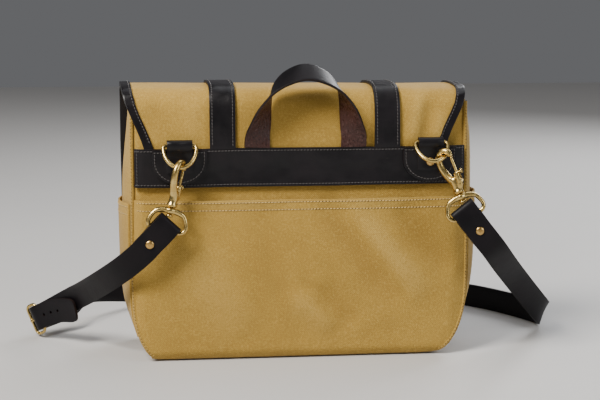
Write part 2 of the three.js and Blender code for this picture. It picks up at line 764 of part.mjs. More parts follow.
function swivelEye() {
  const right = EYE_HALF.map((row) => inPlane(row.x, row.z));
  const left = [...EYE_HALF].reverse().map((row) => inPlane(-row.x, row.z));
  const loop = new THREE.CatmullRomCurve3([inPlane(0, -3.3), ...right, inPlane(0, EYE.bar), ...left], true);
  const boss = turned(
    [
      { r: 0, z: -6.3 },
      { r: EYE.boss, z: -6.3 },
      { r: EYE.boss, z: -0.4 },
      { r: 0, z: -0.4 },
    ],
    12,
  );
  const saddle = rod(
    new THREE.CatmullRomCurve3([inPlane(-13.5, -5.8), inPlane(-7, -3.7), inPlane(7, -3.7), inPlane(13.5, -5.8)]),
    (t) => lerp(EYE.wire, EYE.saddle, Math.sin(Math.PI * t)),
    8,
    8,
  );
  const bore = rod(straight(inPlane(0, -8), inPlane(0, 1)), () => EYE.bore, 1, 12);
  return cut(fused(wireRing(loop, EYE.wire, 28, 6), saddle, boss), bore);
}

// How each D-ring swings out from the band, where on its bow the hook hangs, and how hook and strap lie.
const SIDES = [
  {
    side: "left",
    sign: -1,
    swing: 34,
    hang: 90,
    axis: new Vector3(0.25, 0.1, 0.963),
    towardsBolt: new Vector3(0.55, 0.835, 0),
    strapRun: new Vector3(-0.685, 0.02, -0.728),
    strapSlide: -2.5,
  },
  {
    side: "right",
    sign: 1,
    swing: 47,
    hang: 48,
    axis: new Vector3(-0.34, 0.2, 0.92),
    towardsBolt: new Vector3(0.76, -0.56, 0),
    strapRun: new Vector3(0.615, -0.03, -0.785),
    strapSlide: 0,
  },
];

// The strap's end is folded round the eye's bar and riveted: rows along its run and out from its middle.
const FOLD_ROWS = [
  { along: 31, out: 1.5 },
  { along: 24, out: 1.5 },
  { along: 16.5, out: 1.7 },
  { along: 8.5, out: 3.8 },
  { along: -5.5, out: 3.8 },
  { along: -9.8, out: 2.8 },
  { along: -11.4, out: 0 },
];
const RIVET_ALONG = 20;

function strapFold(bar, run, facing, sign) {
  const along = run.clone().normalize();
  const right = new Vector3().crossVectors(facing, along).normalize();
  const out = new Vector3().crossVectors(along, right);
  const across = right.clone().multiplyScalar(-sign); // the way the strap below it is laid
  const row = (a, o) => ({ centre: bar.clone().addScaledVector(along, a).addScaledVector(out, o), across });
  const behind = FOLD_ROWS.map((fold) => row(fold.along, -fold.out));
  const before = FOLD_ROWS.slice(0, -1).reverse().map((fold) => row(fold.along, fold.out));
  const rivetSeat = row(RIVET_ALONG, FOLD_ROWS[0].out + LEATHER / 2 + 2 * CLEAR).centre;
  return { rows: [...behind, ...before], rivetSeat, out, along };
}

// A drill for a rivet's post or a strap hole, on the Z axis of a group.
function drill(group, radius, depth) {
  const tool = rod(straight(new Vector3(0, 0, -depth), new Vector3(0, 0, 2)), () => radius, 1, 8);
  return tool.applyMatrix4(group.matrixWorld);
}

const folds = {};
for (const { side, sign, swing, hang, axis, towardsBolt, strapRun, strapSlide } of SIDES) {
  const x = MIDDLE + sign * TAB.out;
  const tab = new THREE.Group();
  tab.position.set(x, -(halfDepth(0, TAB_HEIGHTS.bar) + PATCH_OUT), TAB_HEIGHTS.bar);
  tab.rotation.x = -PATCH_LEAN;
  bag.add(tab);
  tab.updateMatrixWorld(true);
  const lapFace = 2 * LEATHER - TAB.sunk;
  const tabRivetSeat = new Vector3(0, -lapFace - CLEAR, TAB_HEIGHTS.rivet - TAB_HEIGHTS.bar);
  const tabRivet = placed(tabRivetSeat, new Vector3(0, -1, 0), new Vector3(0, 0, 1), tab);
  const inverse = tab.matrixWorld.clone().invert();
  const tabHole = drill(tabRivet, RIVET.post + CLEAR, RIVET.tabDepth + 2 * CLEAR).applyMatrix4(inverse);
  add("ring_tab_" + side, cut(ringTab(), tabHole), leather, tab);
  add("tab_rivet_" + side, rivet(RIVET.tabDepth), brass, tabRivet);

  const ring = new THREE.Group();
  ring.position.set(0, -BAR_OUT, 0);
  ring.rotation.x = -degToRad(swing);
  tab.add(ring);
  ring.updateMatrixWorld(true);
  add("d_ring_" + side, dRing(), brass, ring);

  const angle = degToRad(hang);
  const bow = RING.drop - RING.corner;
  const hanger = inPlane(RING.half * Math.cos(angle), -RING.corner - bow * Math.sin(angle));
  hanger.applyMatrix4(ring.matrixWorld);
  const seat = hanger.clone().addScaledVector(axis.clone().normalize(), -HOOK.reach);
  seat.addScaledVector(towardsBolt, HOOK.ringX);
  const facing = new Vector3().crossVectors(axis, towardsBolt).normalize();
  const snap = placed(seat, axis, facing);
  add("hook_" + side, hook(), brass, snap);
  add("bolt_" + side, bolt(), brass, snap);

  const eye = placed(seat, axis, new Vector3(0, 1, 0));
  add("swivel_eye_" + side, swivelEye(), brass, eye);
  const bar = inPlane(strapSlide, EYE.bar).applyMatrix4(eye.matrixWorld);
  const fold = strapFold(bar, strapRun, new Vector3(0, -1, 0), sign);
  const strapRivet = placed(fold.rivetSeat, fold.out, fold.along);
  fold.hole = drill(strapRivet, RIVET.post + CLEAR, RIVET.strapDepth + LEATHER);
  add("strap_rivet_" + side, rivet(RIVET.strapDepth), brass, strapRivet);
  folds[side] = fold;
}

// Shoulder strap: a short length from the left hook to the buckle, and a long one from the right hook that
// runs round the front of the bag on its edge and back through the buckle.

const HEEL_BAR = new Vector3(-269.9, 70.2, 23.2);
const TO_OUTER_BAR = new Vector3(-0.63, 0.63, -0.455).normalize();
const BUCKLE_HEIGHT = 14;
const buckle = placed(HEEL_BAR, TO_OUTER_BAR, new Vector3(0.675, 0.734, 0.081));
const buckleAcross = new Vector3(-1, 0, 0).transformDirection(buckle.matrixWorld); // downwards

// A row at a distance from the heel bar towards the outer bar, away behind the buckle and down across it.
function atBuckle({ along, away, drop = 0, wide = 1 }) {
  const centre = new Vector3(-drop, away, along).applyMatrix4(buckle.matrixWorld);
  return { centre, across: buckleAcross, wide };
}

function onRun({ x, y, z, wx, wy, wz }) {
  return { centre: new Vector3(x, y, z), across: new Vector3(wx, wy, wz) };
}

const SHORT_RUN = [
  { x: -175, y: -75, z: 105.5, wx: 0.68, wy: -0.04, wz: -0.73 },
  { x: -191, y: -55, z: 90.5, wx: 0.63, wy: -0.1, wz: -0.76 },
  { x: -207, y: -25, z: 75, wx: 0.57, wy: -0.14, wz: -0.81 },
  { x: -222, y: 9, z: 60, wx: 0.5, wy: -0.2, wz: -0.84 },
];
const HEEL_FOLD = [
  { along: -60, away: -1.5 },
  { along: -30, away: -1.5 },
  { along: -12, away: -1.6 },
  { along: -4, away: -3.2 },
  { along: 0, away: -3.4 },
  { along: 2.5, away: -2.4 },
  { along: 3.5, away: 0 },
  { along: 2.5, away: 2.4 },
  { along: 0, away: 3.4 },
  { along: -4, away: 3.2 },
  { along: -12, away: 1.6 },
  { along: -28, away: 1.5 },
];
const LONG_RUN = [
  { x: 201, y: -89, z: 117, wx: -0.79, wy: -0.02, wz: -0.61 },
  { x: 212, y: -75, z: 104, wx: -0.79, wy: 0.03, wz: -0.61 },
  { x: 227, y: -50, z: 87.5, wx: -0.77, wy: 0.08, wz: -0.63 },
  { x: 246, y: -20, z: 67.5, wx: -0.72, wy: 0.14, wz: -0.67 },
  { x: 269, y: 12, z: 43, wx: -0.64, wy: 0.2, wz: -0.74 },
  { x: 287, y: 36, z: 24, wx: -0.5, wy: 0.2, wz: -0.84 },
  { x: 295, y: 58, z: 15, wx: -0.25, wy: 0.1, wz: -0.96 },
  { x: 290, y: 84, z: 13.8, wx: -0.05, wy: 0, wz: -1 },
  { x: 272, y: 125, z: 13.7, wx: 0, wy: 0, wz: -1 },
  { x: 249, y: 165, z: 13.7, wx: 0, wy: 0, wz: -1 },
  { x: 214, y: 205, z: 13.7, wx: 0, wy: 0, wz: -1 },
  { x: 158, y: 240, z: 13.7, wx: 0, wy: 0, wz: -1 },
  { x: 80, y: 262, z: 13.7, wx: 0, wy: 0, wz: -1 },
  { x: -10, y: 266, z: 13.7, wx: 0, wy: 0, wz: -1 },
  { x: -96, y: 251, z: 14.5, wx: 0, wy: 0, wz: -1 },
  { x: -156, y: 222, z: 20, wx: 0.05, wy: 0, wz: -1 },
  { x: -196, y: 184, z: 29, wx: 0.15, wy: 0, wz: -0.98 },
  { x: -224, y: 144, z: 35, wx: 0.3, wy: 0, wz: -0.95 },
];
const TAIL_RUN = [
  { along: -2, away: 44 },
  { along: 4, away: 24 },
  { along: 6.6, away: 10 },
  { along: 7, away: 3 },
  { along: 5.4, away: -4.2 },
  { along: 0, away: -7 },
  { along: -7, away: -6 },
  { along: -20, away: -5, drop: 1 },
  { along: -40, away: -5.4, drop: 5 },
  { along: -52, away: -6.5, drop: 9.4 },
  { along: -58, away: -7.2, drop: 11.6, wide: 0.96 },
  { along: -62, away: -7.8, drop: 13, wide: 0.8 },
  { along: -64, away: -8.1, drop: 13.7, wide: 0.5 },
];
const HOLES = [
  { along: -14, away: -7, drop: 0.6 },
  { along: -25, away: -7, drop: 2 },
  { along: -36, away: -7, drop: 4 },
];

function strap(rows, along) {
  return ribbon({ rows, width: STRAP_WIDTH, thickness: LEATHER, along });
}

const prongSlot = () => prong(BUCKLE_HEIGHT, FRAME.prong + CLEAR).applyMatrix4(buckle.matrixWorld);
const shortRows = [...folds.left.rows, ...SHORT_RUN.map(onRun), ...HEEL_FOLD.map(atBuckle)];
const longRows = [...folds.right.rows, ...LONG_RUN.map(onRun), ...TAIL_RUN.map(atBuckle)];
const towardsBack = new Vector3(0, -1, 0).transformDirection(buckle.matrixWorld);
const holes = HOLES.map((hole) => {
  const place = placed(atBuckle(hole).centre, towardsBack, buckleAcross);
  return drill(place, STRAP_HOLE, LEATHER * 1.7);
});
const shortStrap = strap(shortRows, 56);
const longStrap = strap(longRows, 2 * (longRows.length - 1));
add("shoulder_strap_short", cut(shortStrap, folds.left.hole, prongSlot()), leather);
add("shoulder_strap_long", cut(longStrap, folds.right.hole, prongSlot(), ...holes), leather);
add("strap_buckle", buckleFrame(STRAP_WIDTH / 2 + FRAME.room, BUCKLE_HEIGHT), brass, buckle);

export default bag;
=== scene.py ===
"""Dresses a messenger bag's solids in twill canvas, dark leather and brass, with their stitching."""

import json
import math

import bmesh
import bpy
import numpy as np
from bpy.props import FloatProperty, FloatVectorProperty, IntProperty, PointerProperty
from mathutils import Matrix, Vector, noise
from mathutils.bvhtree import BVHTree


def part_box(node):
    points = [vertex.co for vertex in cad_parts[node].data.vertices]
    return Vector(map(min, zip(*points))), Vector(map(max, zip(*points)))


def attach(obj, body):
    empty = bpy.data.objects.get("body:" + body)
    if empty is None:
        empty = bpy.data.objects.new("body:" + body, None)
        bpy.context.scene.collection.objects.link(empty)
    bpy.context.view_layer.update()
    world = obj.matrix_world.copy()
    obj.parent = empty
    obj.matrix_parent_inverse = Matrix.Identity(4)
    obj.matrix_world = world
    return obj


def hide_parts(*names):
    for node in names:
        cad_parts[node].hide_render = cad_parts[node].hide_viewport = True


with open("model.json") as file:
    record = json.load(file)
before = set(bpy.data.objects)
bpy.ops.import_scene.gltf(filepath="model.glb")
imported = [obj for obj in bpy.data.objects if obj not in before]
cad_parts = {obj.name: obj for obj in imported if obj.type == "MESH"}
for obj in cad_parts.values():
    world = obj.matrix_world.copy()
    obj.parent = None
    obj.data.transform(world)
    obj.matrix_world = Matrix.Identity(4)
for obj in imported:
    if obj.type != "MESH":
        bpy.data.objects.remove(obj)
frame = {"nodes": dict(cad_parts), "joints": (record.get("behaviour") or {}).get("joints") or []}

bl_info = {
    "name": "Canvas Messenger Bag",
    "version": (1, 0, 0),
    "blender": (4, 5, 0),
    "location": "View3D > Sidebar > Bag",
    "description": "Dresses a messenger bag's solids in twill canvas, dark leather and brass",
    "category": "Object",
}

MM = 0.001
BAG = "bag"  # the body that everything but the hooks and bolts rides on
SIDES = ("left", "right")
STRAPS = ("shoulder_strap_short", "shoulder_strap_long")
BACKWARD = Vector((0, -1, 0))  # from the bag towards whoever looks at its back
FORWARD = Vector((0, 1, 0))

WELD = 0.02 * MM  # corners nearer than this are one
RIM_ANGLE = math.radians(42)  # faces that meet more sharply than this meet at a rim
FLAT_ANGLE = math.radians(35)  # triangles that meet less sharply than this are one quad
TWIST_ANGLE = math.radians(62)  # both angles for a strap that is strongly twisted
SHARP = math.radians(26)  # once smoothed, faces that meet more sharply than this meet at a rim
BROAD = 4 * MM  # a group of faces wider than this is a face of a sheet, not its cut edge
LOOKING = 0.7  # a normal with more than this along a direction looks that way
MITRE = 0.4  # an inset grows at a sharp corner, but by no more than one over this
PHOTO_WIDTH = 600  # pixels
SENSOR = 36.0  # millimetres

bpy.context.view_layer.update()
BAND_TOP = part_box("back_band")[1].z


# Settings

class BagClothSettings(bpy.types.PropertyGroup):
    """The canvas."""

    colour: FloatVectorProperty(
        name="Canvas", description="Colour of the twill where it is clean", subtype="COLOR",
        size=3, min=0, max=1, default=(0.46, 0.286, 0.054))
    shade: FloatVectorProperty(
        name="Shade", description="Colour of the twill where it is handled or folded", subtype="COLOR",
        size=3, min=0, max=1, default=(0.375, 0.23, 0.041))
    pitch: FloatProperty(
        name="Twill pitch", description="Distance between two ribs of the twill", default=1.5 * MM,
        min=0.3 * MM, max=4 * MM, precision=5, unit="LENGTH")
    wander: FloatProperty(
        name="Wander", description="How far the soft walls stray from their cut shape", default=0.7 * MM,
        min=0, max=3 * MM, precision=5, unit="LENGTH")
    smoothing: IntProperty(
        name="Smoothing", description="How many times the canvas is subdivided", default=3, min=1, max=4)


class BagLeatherSettings(bpy.types.PropertyGroup):
    """The leather trim."""

    colour: FloatVectorProperty(
        name="Leather", description="Colour of the smooth side", subtype="COLOR",
        size=3, min=0, max=1, default=(0.0044, 0.0039, 0.0048))
    flesh: FloatVectorProperty(
        name="Flesh side", description="Colour of the rough side of the handle", subtype="COLOR",
        size=3, min=0, max=1, default=(0.05, 0.0142, 0.0102))
    edge: FloatVectorProperty(
        name="Cut edge", description="Colour of the burnished cut edges", subtype="COLOR",
        size=3, min=0, max=1, default=(0.009, 0.006, 0.0055))
    round_edge: FloatProperty(
        name="Round edge", description="Radius of the cut edges", default=0.7 * MM,
        min=0.1 * MM, max=1.2 * MM, precision=5, unit="LENGTH")


class BagBrassSettings(bpy.types.PropertyGroup):
    """The fittings."""

    colour: FloatVectorProperty(
        name="Brass", description="Colour of the polished fittings", subtype="COLOR",
        size=3, min=0, max=1, default=(0.62, 0.455, 0.165))
    rivet: FloatVectorProperty(
        name="Rivets", description="Colour of the rivet heads", subtype="COLOR",
        size=3, min=0, max=1, default=(0.56, 0.36, 0.125))
    grain: FloatProperty(
        name="Casting grain", description="Size of the cells that the cast fittings are smoothed on",
        default=0.34 * MM, min=0.2 * MM, max=1 * MM, precision=5, unit="LENGTH")


class BagThreadSettings(bpy.types.PropertyGroup):
    """The stitching."""

    pale: FloatVectorProperty(
        name="Canvas thread", description="Colour of the thread in the canvas", subtype="COLOR",
        size=3, min=0, max=1, default=(0.7, 0.48, 0.16))
    seam: FloatVectorProperty(
        name="Seam thread", description="Colour of the thread in the rolled seams", subtype="COLOR",
        size=3, min=0, max=1, default=(0.44, 0.28, 0.065))
    # Painted shade: colour of the dark beads that stand in the needle holes on the canvas.
    hole_shade: FloatVectorProperty(
        name="Needle holes", description="Colour in the holes between the stitches", subtype="COLOR",
        size=3, min=0, max=1, default=(0.06, 0.034, 0.008))
    dark: FloatVectorProperty(
        name="Leather thread", description="Colour of the thread in the leather", subtype="COLOR",
        size=3, min=0, max=1, default=(0.062, 0.055, 0.054))
    pitch: FloatProperty(
        name="Stitch length", description="Distance from one needle hole to the next", default=3.4 * MM,
        min=1 * MM, max=8 * MM, precision=5, unit="LENGTH")
    width: FloatProperty(
        name="Thread", description="Thickness of the thread", default=1.1 * MM,
        min=0.2 * MM, max=2 * MM, precision=5, unit="LENGTH")


class BagStageSettings(bpy.types.PropertyGroup):
    """Camera, floor and lights."""

    azimuth: FloatProperty(
        name="Azimuth", description="Camera's turn round the bag from square behind it", subtype="ANGLE",
        default=math.radians(-7))
    elevation: FloatProperty(
        name="Elevation", description="Camera's height above the horizon", subtype="ANGLE",
        default=math.radians(8))
    distance: FloatProperty(
        name="Distance", description="From the camera to the point that it looks at", default=1.7,
        unit="LENGTH")
    focal: FloatProperty(
        name="Focal length", description="In pixels of the photograph's width", subtype="PIXEL",
        default=1643.9)
    floor: FloatVectorProperty(
        name="Floor", description="Colour of the floor", subtype="COLOR", size=3, min=0, max=1,
        default=(0.52, 0.51, 0.5))


class BagSettings(bpy.types.PropertyGroup):
    """All that a user would change."""

    cloth: PointerProperty(type=BagClothSettings)
    leather: PointerProperty(type=BagLeatherSettings)
    brass: PointerProperty(type=BagBrassSettings)
    thread: PointerProperty(type=BagThreadSettings)
    stage: PointerProperty(type=BagStageSettings)


def settings():
    return bpy.context.scene.bag


# Materials

# Colours that the clean finishes are mixed with. Some stand in for light: the pale yarn also pales fold
# crests, as wear and painted highlight, the dark yarn also paints shade in fold furrows, the furrow colour is
# painted shade between the twill's ribs, and the fleck colour paints glints on the flesh side.
PALE_YARN_AND_HIGHLIGHT = (0.66, 0.45, 0.13, 1)
DARK_YARN_AND_SHADE = (0.25, 0.14, 0.024, 1)
FURROW_SHADE = (0.2, 0.11, 0.018, 1)
SCUFF = (0.04, 0.036, 0.036, 1)
RUBBED_FLESH = (0.035, 0.014, 0.012, 1)
GLINT_FLECK = (0.24, 0.17, 0.155, 1)
# Shares of a finish's own colour.
WARM_LEATHER = (1.9, 1.65, 1.65)
DULL_BRASS = (0.72, 0.62, 0.46)
DARK_FIBRE = 0.45
DARK_TWIST = 0.6
PALE_FLOOR = 1.06
WAVE_TURNS = {"X": 20.0, "DIAGONAL": 10.0}  # radians that a wave texture turns through in a unit
YARN_PITCH = 0.9  # of the twill's


def blank(name, **sockets):
    """A material with the given values on its shader, its node tree and that shader."""
    made = bpy.data.materials.new(name)
    made.use_nodes = True
    shader = made.node_tree.nodes["Principled BSDF"]
    for socket, value in sockets.items():
        shader.inputs[socket.replace("_", " ")].default_value = value
    return made, made.node_tree, shader


def add(tree, kind, inputs=None, **values):
    """A new node, with its properties set and its inputs linked or set."""
    node = tree.nodes.new("ShaderNode" + kind)
    for name, value in values.items():
        setattr(node, name, value)
    for name, value in (inputs or {}).items():
        if isinstance(value, bpy.types.NodeSocket):
            tree.links.new(value, node.inputs[name])
        else:
            node.inputs[name].default_value = value
    return node


def math_of(tree, operation, a, b):
    return add(tree, "Math", {0: a, 1: b}, operation=operation).outputs[0]


def weighted(tree, *terms):
    """The sum of values, each given with its weight."""
    total = None
    for value, weight in terms:
        part = math_of(tree, "MULTIPLY", value, weight)
        total = part if total is None else math_of(tree, "ADD", total, part)
    return total


def ranged(tree, value, low, high, to_low=0.0, to_high=1.0):
    """A value carried from one range to another, and held inside it."""
    inputs = {"Value": value, "From Min": low, "From Max": high, "To Min": to_low, "To Max": to_high}
    return add(tree, "MapRange", inputs).outputs["Result"]


def mixed(tree, share, a, b):
    """Two colours mixed by a share: a mix node's sockets 6, 7 and 2 are its colours."""
    inputs = {0: share, 6: a, 7: b}
    return add(tree, "Mix", inputs, data_type="RGBA").outputs[2]


def noise_of(tree, place, scale, detail=3.0, roughness=0.55):
    inputs = {"Vector": place, "Scale": scale, "Detail": detail, "Roughness": roughness}
    return add(tree, "TexNoise", inputs).outputs["Fac"]


def stretched(tree, place, scale):
    return add(tree, "Mapping", {"Vector": place, "Scale": scale}).outputs["Vector"]


def object_place(tree):
    return add(tree, "TexCoord").outputs["Object"]


def bumped(tree, shader, height, distance, strength):
    inputs = {"Height": height, "Distance": distance, "Strength": strength}
    tree.links.new(add(tree, "Bump", inputs).outputs["Normal"], shader.inputs["Normal"])


def opaque(colour, share=1.0):
    """A colour with full alpha, or a share of it, one for all its parts or one for each."""
    return (*(np.array(colour) * share), 1.0)


def ribs_across(tree, weave, direction, period):
    """Even ribs on the weave: 0 in the furrows and 1 on the ribs."""
    scale = 2 * math.pi / (WAVE_TURNS[direction] * period)
    inputs = {"Vector": weave, "Scale": scale, "Distortion": 0.6, "Detail": 1.0}
    return add(tree, "TexWave", inputs, bands_direction=direction).outputs["Fac"]


def canvas_material():
    """Heavy cotton twill: diagonal ribs over crossing yarns, slubs, and a tone that wanders."""
    cloth = settings().cloth
    made, tree, shader = blank(
        "twill_canvas", Roughness=0.88, Sheen_Weight=0.12, Sheen_Roughness=0.45, Specular_IOR_Level=0.25)
    weave = add(tree, "UVMap", uv_map="weave").outputs["UV"]
    place = object_place(tree)
    ribs = ribs_across(tree, weave, "DIAGONAL", cloth.pitch * math.sqrt(2))
    yarns = ribs_across(tree, weave, "X", cloth.pitch * YARN_PITCH)
    slubs = noise_of(tree, stretched(tree, weave, (90, 1500, 1)), 1.0, 2.0)
    crossing = noise_of(tree, stretched(tree, weave, (1300, 120, 1)), 1.0, 2.0)
    speckle = noise_of(tree, place, 640.0, 2.0)
    clouds = noise_of(tree, place, 11.0, 4.0)
    patches = noise_of(tree, place, 42.0, 3.0)
    tone = weighted(tree, (clouds, 0.7), (patches, 0.3))
    colour = mixed(tree, ranged(tree, tone, 0.36, 0.64), opaque(cloth.shade), opaque(cloth.colour))
    grain = math_of(tree, "ADD", slubs, crossing)
    colour = mixed(tree, ranged(tree, grain, 0.7, 1.3, 0.0, 0.3), colour, DARK_YARN_AND_SHADE)
    # Fold crests are paled, as wear and painted highlight, and fold furrows are darkened with painted shade.
    fold_wear_and_shade = add(tree, "Attribute", attribute_name="fold_wear_and_shade").outputs["Fac"]
    colour = mixed(tree, ranged(tree, fold_wear_and_shade, 0.0, 1.0, 0.0, 0.4), colour, PALE_YARN_AND_HIGHLIGHT)
    colour = mixed(tree, ranged(tree, fold_wear_and_shade, -1.0, 0.0, 0.45, 0.0), colour, DARK_YARN_AND_SHADE)
    # Painted shade in the twill's furrows between its ribs.
    furrow = ranged(tree, ribs, 0.0, 0.6, 0.42, 0.0)
    colour = mixed(tree, furrow, colour, FURROW_SHADE)
    colour = mixed(tree, ranged(tree, speckle, 0.52, 0.7, 0.0, 0.26), colour, PALE_YARN_AND_HIGHLIGHT)
    colour = mixed(tree, ranged(tree, speckle, 0.3, 0.5, 0.46, 0.0), colour, DARK_YARN_AND_SHADE)
    tree.links.new(colour, shader.inputs["Base Color"])
    bumped(tree, shader, weighted(tree, (ribs, 0.6), (yarns, 0.25), (grain, 0.35)), 0.45 * MM, 0.6)
    return made


def smooth_leather(name, colour, rough, coat, shine=0.2, grain=0.32, sway=0.0):
    """Dark leather: fine pores, creases, cloudy gloss and a few pale scuffs.

    Grain is the strength of its relief, and sway how much of that is a slow swell of its surface.
    """
    made, tree, shader = blank(name, Coat_Weight=coat, Coat_Roughness=0.2, Specular_IOR_Level=shine)
    place = object_place(tree)
    pores = add(tree, "TexVoronoi", {"Vector": place, "Scale": 950.0}).outputs["Distance"]
    creases = noise_of(tree, stretched(tree, place, (240, 240, 90)), 1.0, 4.0)
    clouds = noise_of(tree, place, 34.0, 4.0)
    scuffs = noise_of(tree, stretched(tree, place, (70, 90, 420)), 1.0, 5.0, 0.7)
    warm = opaque(colour, WARM_LEATHER)
    tint = mixed(tree, ranged(tree, clouds, 0.35, 0.7), opaque(colour), warm)
    tint = mixed(tree, ranged(tree, scuffs, 0.66, 0.82, 0.0, 0.5), tint, SCUFF)
    tree.links.new(tint, shader.inputs["Base Color"])
    gloss = math_of(tree, "ADD", ranged(tree, clouds, 0.3, 0.7, rough - 0.07, rough + 0.09),
                    ranged(tree, scuffs, 0.6, 0.85, 0.0, 0.2))
    tree.links.new(gloss, shader.inputs["Roughness"])
    swell = noise_of(tree, place, 26.0, 2.0)
    bumped(tree, shader, weighted(tree, (pores, 0.5), (creases, 1.0), (swell, sway)), 0.22 * MM, grain)
    return made


def flesh_leather():
    """The rough side of the handle: brushed fibres over pebbles, with pale flecks painted into its colour as
    glints.
    """
    made, tree, shader = blank("flesh_leather", Specular_IOR_Level=0.36)
    place = object_place(tree)
    colour = settings().leather.flesh
    fibres = noise_of(tree, stretched(tree, place, (520, 520, 260)), 1.0, 5.0, 0.65)
    clouds = noise_of(tree, place, 60.0, 3.0)
    dark = opaque(colour, DARK_FIBRE)
    tint = mixed(tree, ranged(tree, fibres, 0.35, 0.65), dark, opaque(colour))
    tint = mixed(tree, ranged(tree, clouds, 0.45, 0.75, 0.0, 0.5), tint, RUBBED_FLESH)
    # Painted glints: pale flecks in the colour where the fibres rise highest.
    tint = mixed(tree, ranged(tree, fibres, 0.6, 0.72, 0.0, 0.42), tint, GLINT_FLECK)
    tree.links.new(tint, shader.inputs["Base Color"])
    tree.links.new(ranged(tree, fibres, 0.4, 0.62, 0.26, 0.5), shader.inputs["Roughness"])
    pebbles = add(tree, "TexVoronoi", {"Vector": place, "Scale": 520.0}).outputs["Distance"]
    bumped(tree, shader, weighted(tree, (pebbles, 1.2), (fibres, 1.0)), 0.5 * MM, 0.75)
    return made


def metal(name, colour, rough):
    """Cast and polished metal: a soft ripple, cloudy polish and darker patches."""
    made, tree, shader = blank(name, Metallic=1.0)
    place = object_place(tree)
    clouds = noise_of(tree, place, 160.0, 4.0)
    brushed = noise_of(tree, stretched(tree, place, (900, 900, 220)), 1.0, 3.0)
    dull = opaque(colour, DULL_BRASS)
    tint = mixed(tree, ranged(tree, clouds, 0.42, 0.72, 0.0, 0.75), opaque(colour), dull)
    tree.links.new(tint, shader.inputs["Base Color"])
    tree.links.new(ranged(tree, clouds, 0.3, 0.7, rough - 0.05, rough + 0.12), shader.inputs["Roughness"])
    bumped(tree, shader, weighted(tree, (clouds, 1.0), (brushed, 0.3)), 0.12 * MM, 0.16)
    return made


def thread_material(name, colour, sheen):
    """Twisted thread."""
    made, tree, shader = blank(name, Roughness=0.55, Sheen_Weight=sheen, Sheen_Roughness=0.4)
    twist = noise_of(tree, stretched(tree, object_place(tree), (1600, 1600, 1600)), 1.0, 1.0)
    dark = opaque(colour, DARK_TWIST)
    tint = mixed(tree, ranged(tree, twist, 0.4, 0.6), dark, opaque(colour))
    tree.links.new(tint, shader.inputs["Base Color"])
    bumped(tree, shader, twist, 0.2 * MM, 0.5)
    return made


FINISHES = {
    "canvas": canvas_material,
    "leather": lambda: smooth_leather(
        "trim_leather", settings().leather.colour, rough=0.38, coat=0.02, shine=0.24, grain=0.6, sway=26.0),
    "strap": lambda: smooth_leather(
        "strap_leather", settings().leather.colour, rough=0.44, coat=0.0, shine=0.13),
    "binding": lambda: smooth_leather(
        "binding_leather", settings().leather.colour, rough=0.34, coat=0.12),
    "edge": lambda: smooth_leather("burnished_edge", settings().leather.edge, rough=0.42, coat=0.0),
    "flesh": flesh_leather,
    "brass": lambda: metal("polished_brass", settings().brass.colour, rough=0.23),
    "rivet": lambda: metal("rivet_brass", settings().brass.rivet, rough=0.3),
    # Painted shade in the needle holes of the canvas.
    "hole_shade": lambda: thread_material("needle_hole_shade", settings().thread.hole_shade, sheen=0.0),
    "seam thread": lambda: thread_material("seam_thread", settings().thread.seam, sheen=0.1),
    "pale thread": lambda: thread_material("canvas_thread", settings().thread.pale, sheen=0.3),
    "dark thread": lambda: thread_material("leather_thread", settings().thread.dark, sheen=0.2),
}
made_finishes = {}


def finish(name):
    """A finish's material, made the first time that it is asked for."""
    if name not in made_finishes:
        made_finishes[name] = FINISHES[name]()
    return made_finishes[name]


# Shapes

def solid_of(node, creased=True, twisted=False):
    """A node's solid as quads, its corners merged and its rims creased if wanted."""
    bm = bmesh.new()
    bm.from_mesh(frame["nodes"][node].data)
    bmesh.ops.remove_doubles(bm, verts=bm.verts, dist=WELD)
    flat, rim = (TWIST_ANGLE, TWIST_ANGLE) if twisted else (FLAT_ANGLE, RIM_ANGLE)
    bmesh.ops.join_triangles(
        bm, faces=bm.faces, angle_face_threshold=flat, angle_shape_threshold=math.pi)
    bm.normal_update()
    if creased:
        crease = bm.edges.layers.float.new("crease_edge")
        for edge in bm.edges:
            if edge.calc_face_angle(0.0) > rim:
                edge[crease] = 1.0
    return bm


def after_modifiers(bm, *modifiers):
    """The bmesh as the modifiers, each a type and its values, leave it."""
    mesh = bpy.data.meshes.new("shaping")
    bm.to_mesh(mesh)
    bm.free()
    shaping = bpy.data.objects.new("shaping", mesh)
    bpy.context.scene.collection.objects.link(shaping)
    for kind, values in modifiers:
        modifier = shaping.modifiers.new(kind.title(), kind)
        for name, value in values.items():
            setattr(modifier, name, value)
    shaped = bpy.data.meshes.new_from_object(
        shaping.evaluated_get(bpy.context.evaluated_depsgraph_get()))
    made = bmesh.new()
    made.from_mesh(shaped)
    bpy.data.objects.remove(shaping)
    bpy.data.meshes.remove(mesh)
    bpy.data.meshes.remove(shaped)
    made.normal_update()
    return made


def smoothed(node, levels, creased=True, twisted=False):
    """A node's solid with its broad faces smoothly curved, and its rims kept if wanted."""
    smoothing = {"levels": levels, "render_levels": levels}
    return after_modifiers(solid_of(node, creased, twisted), ("SUBSURF", smoothing))


def groups_of(bm):
    """The faces in groups that rims part."""
    seen = set()
    groups = []
    for first in bm.faces:
        if first in seen:
            continue
        seen.add(first)
        group = [first]
        for face in group:
            for edge in face.edges:
                if edge.calc_face_angle(0.0) > SHARP:
                    continue
                for other in edge.link_faces:
                    if other not in seen:
                        seen.add(other)
                        group.append(other)
        groups.append(group)
    return groups


def breadth(group):
    """A group's mean width: twice its area over the length of its rim."""
    members = set(group)
    rim = sum(e.calc_length() for f in group for e in f.edges if not set(e.link_faces) <= members)
    return 2 * sum(f.calc_area() for f in group) / max(rim, MM)


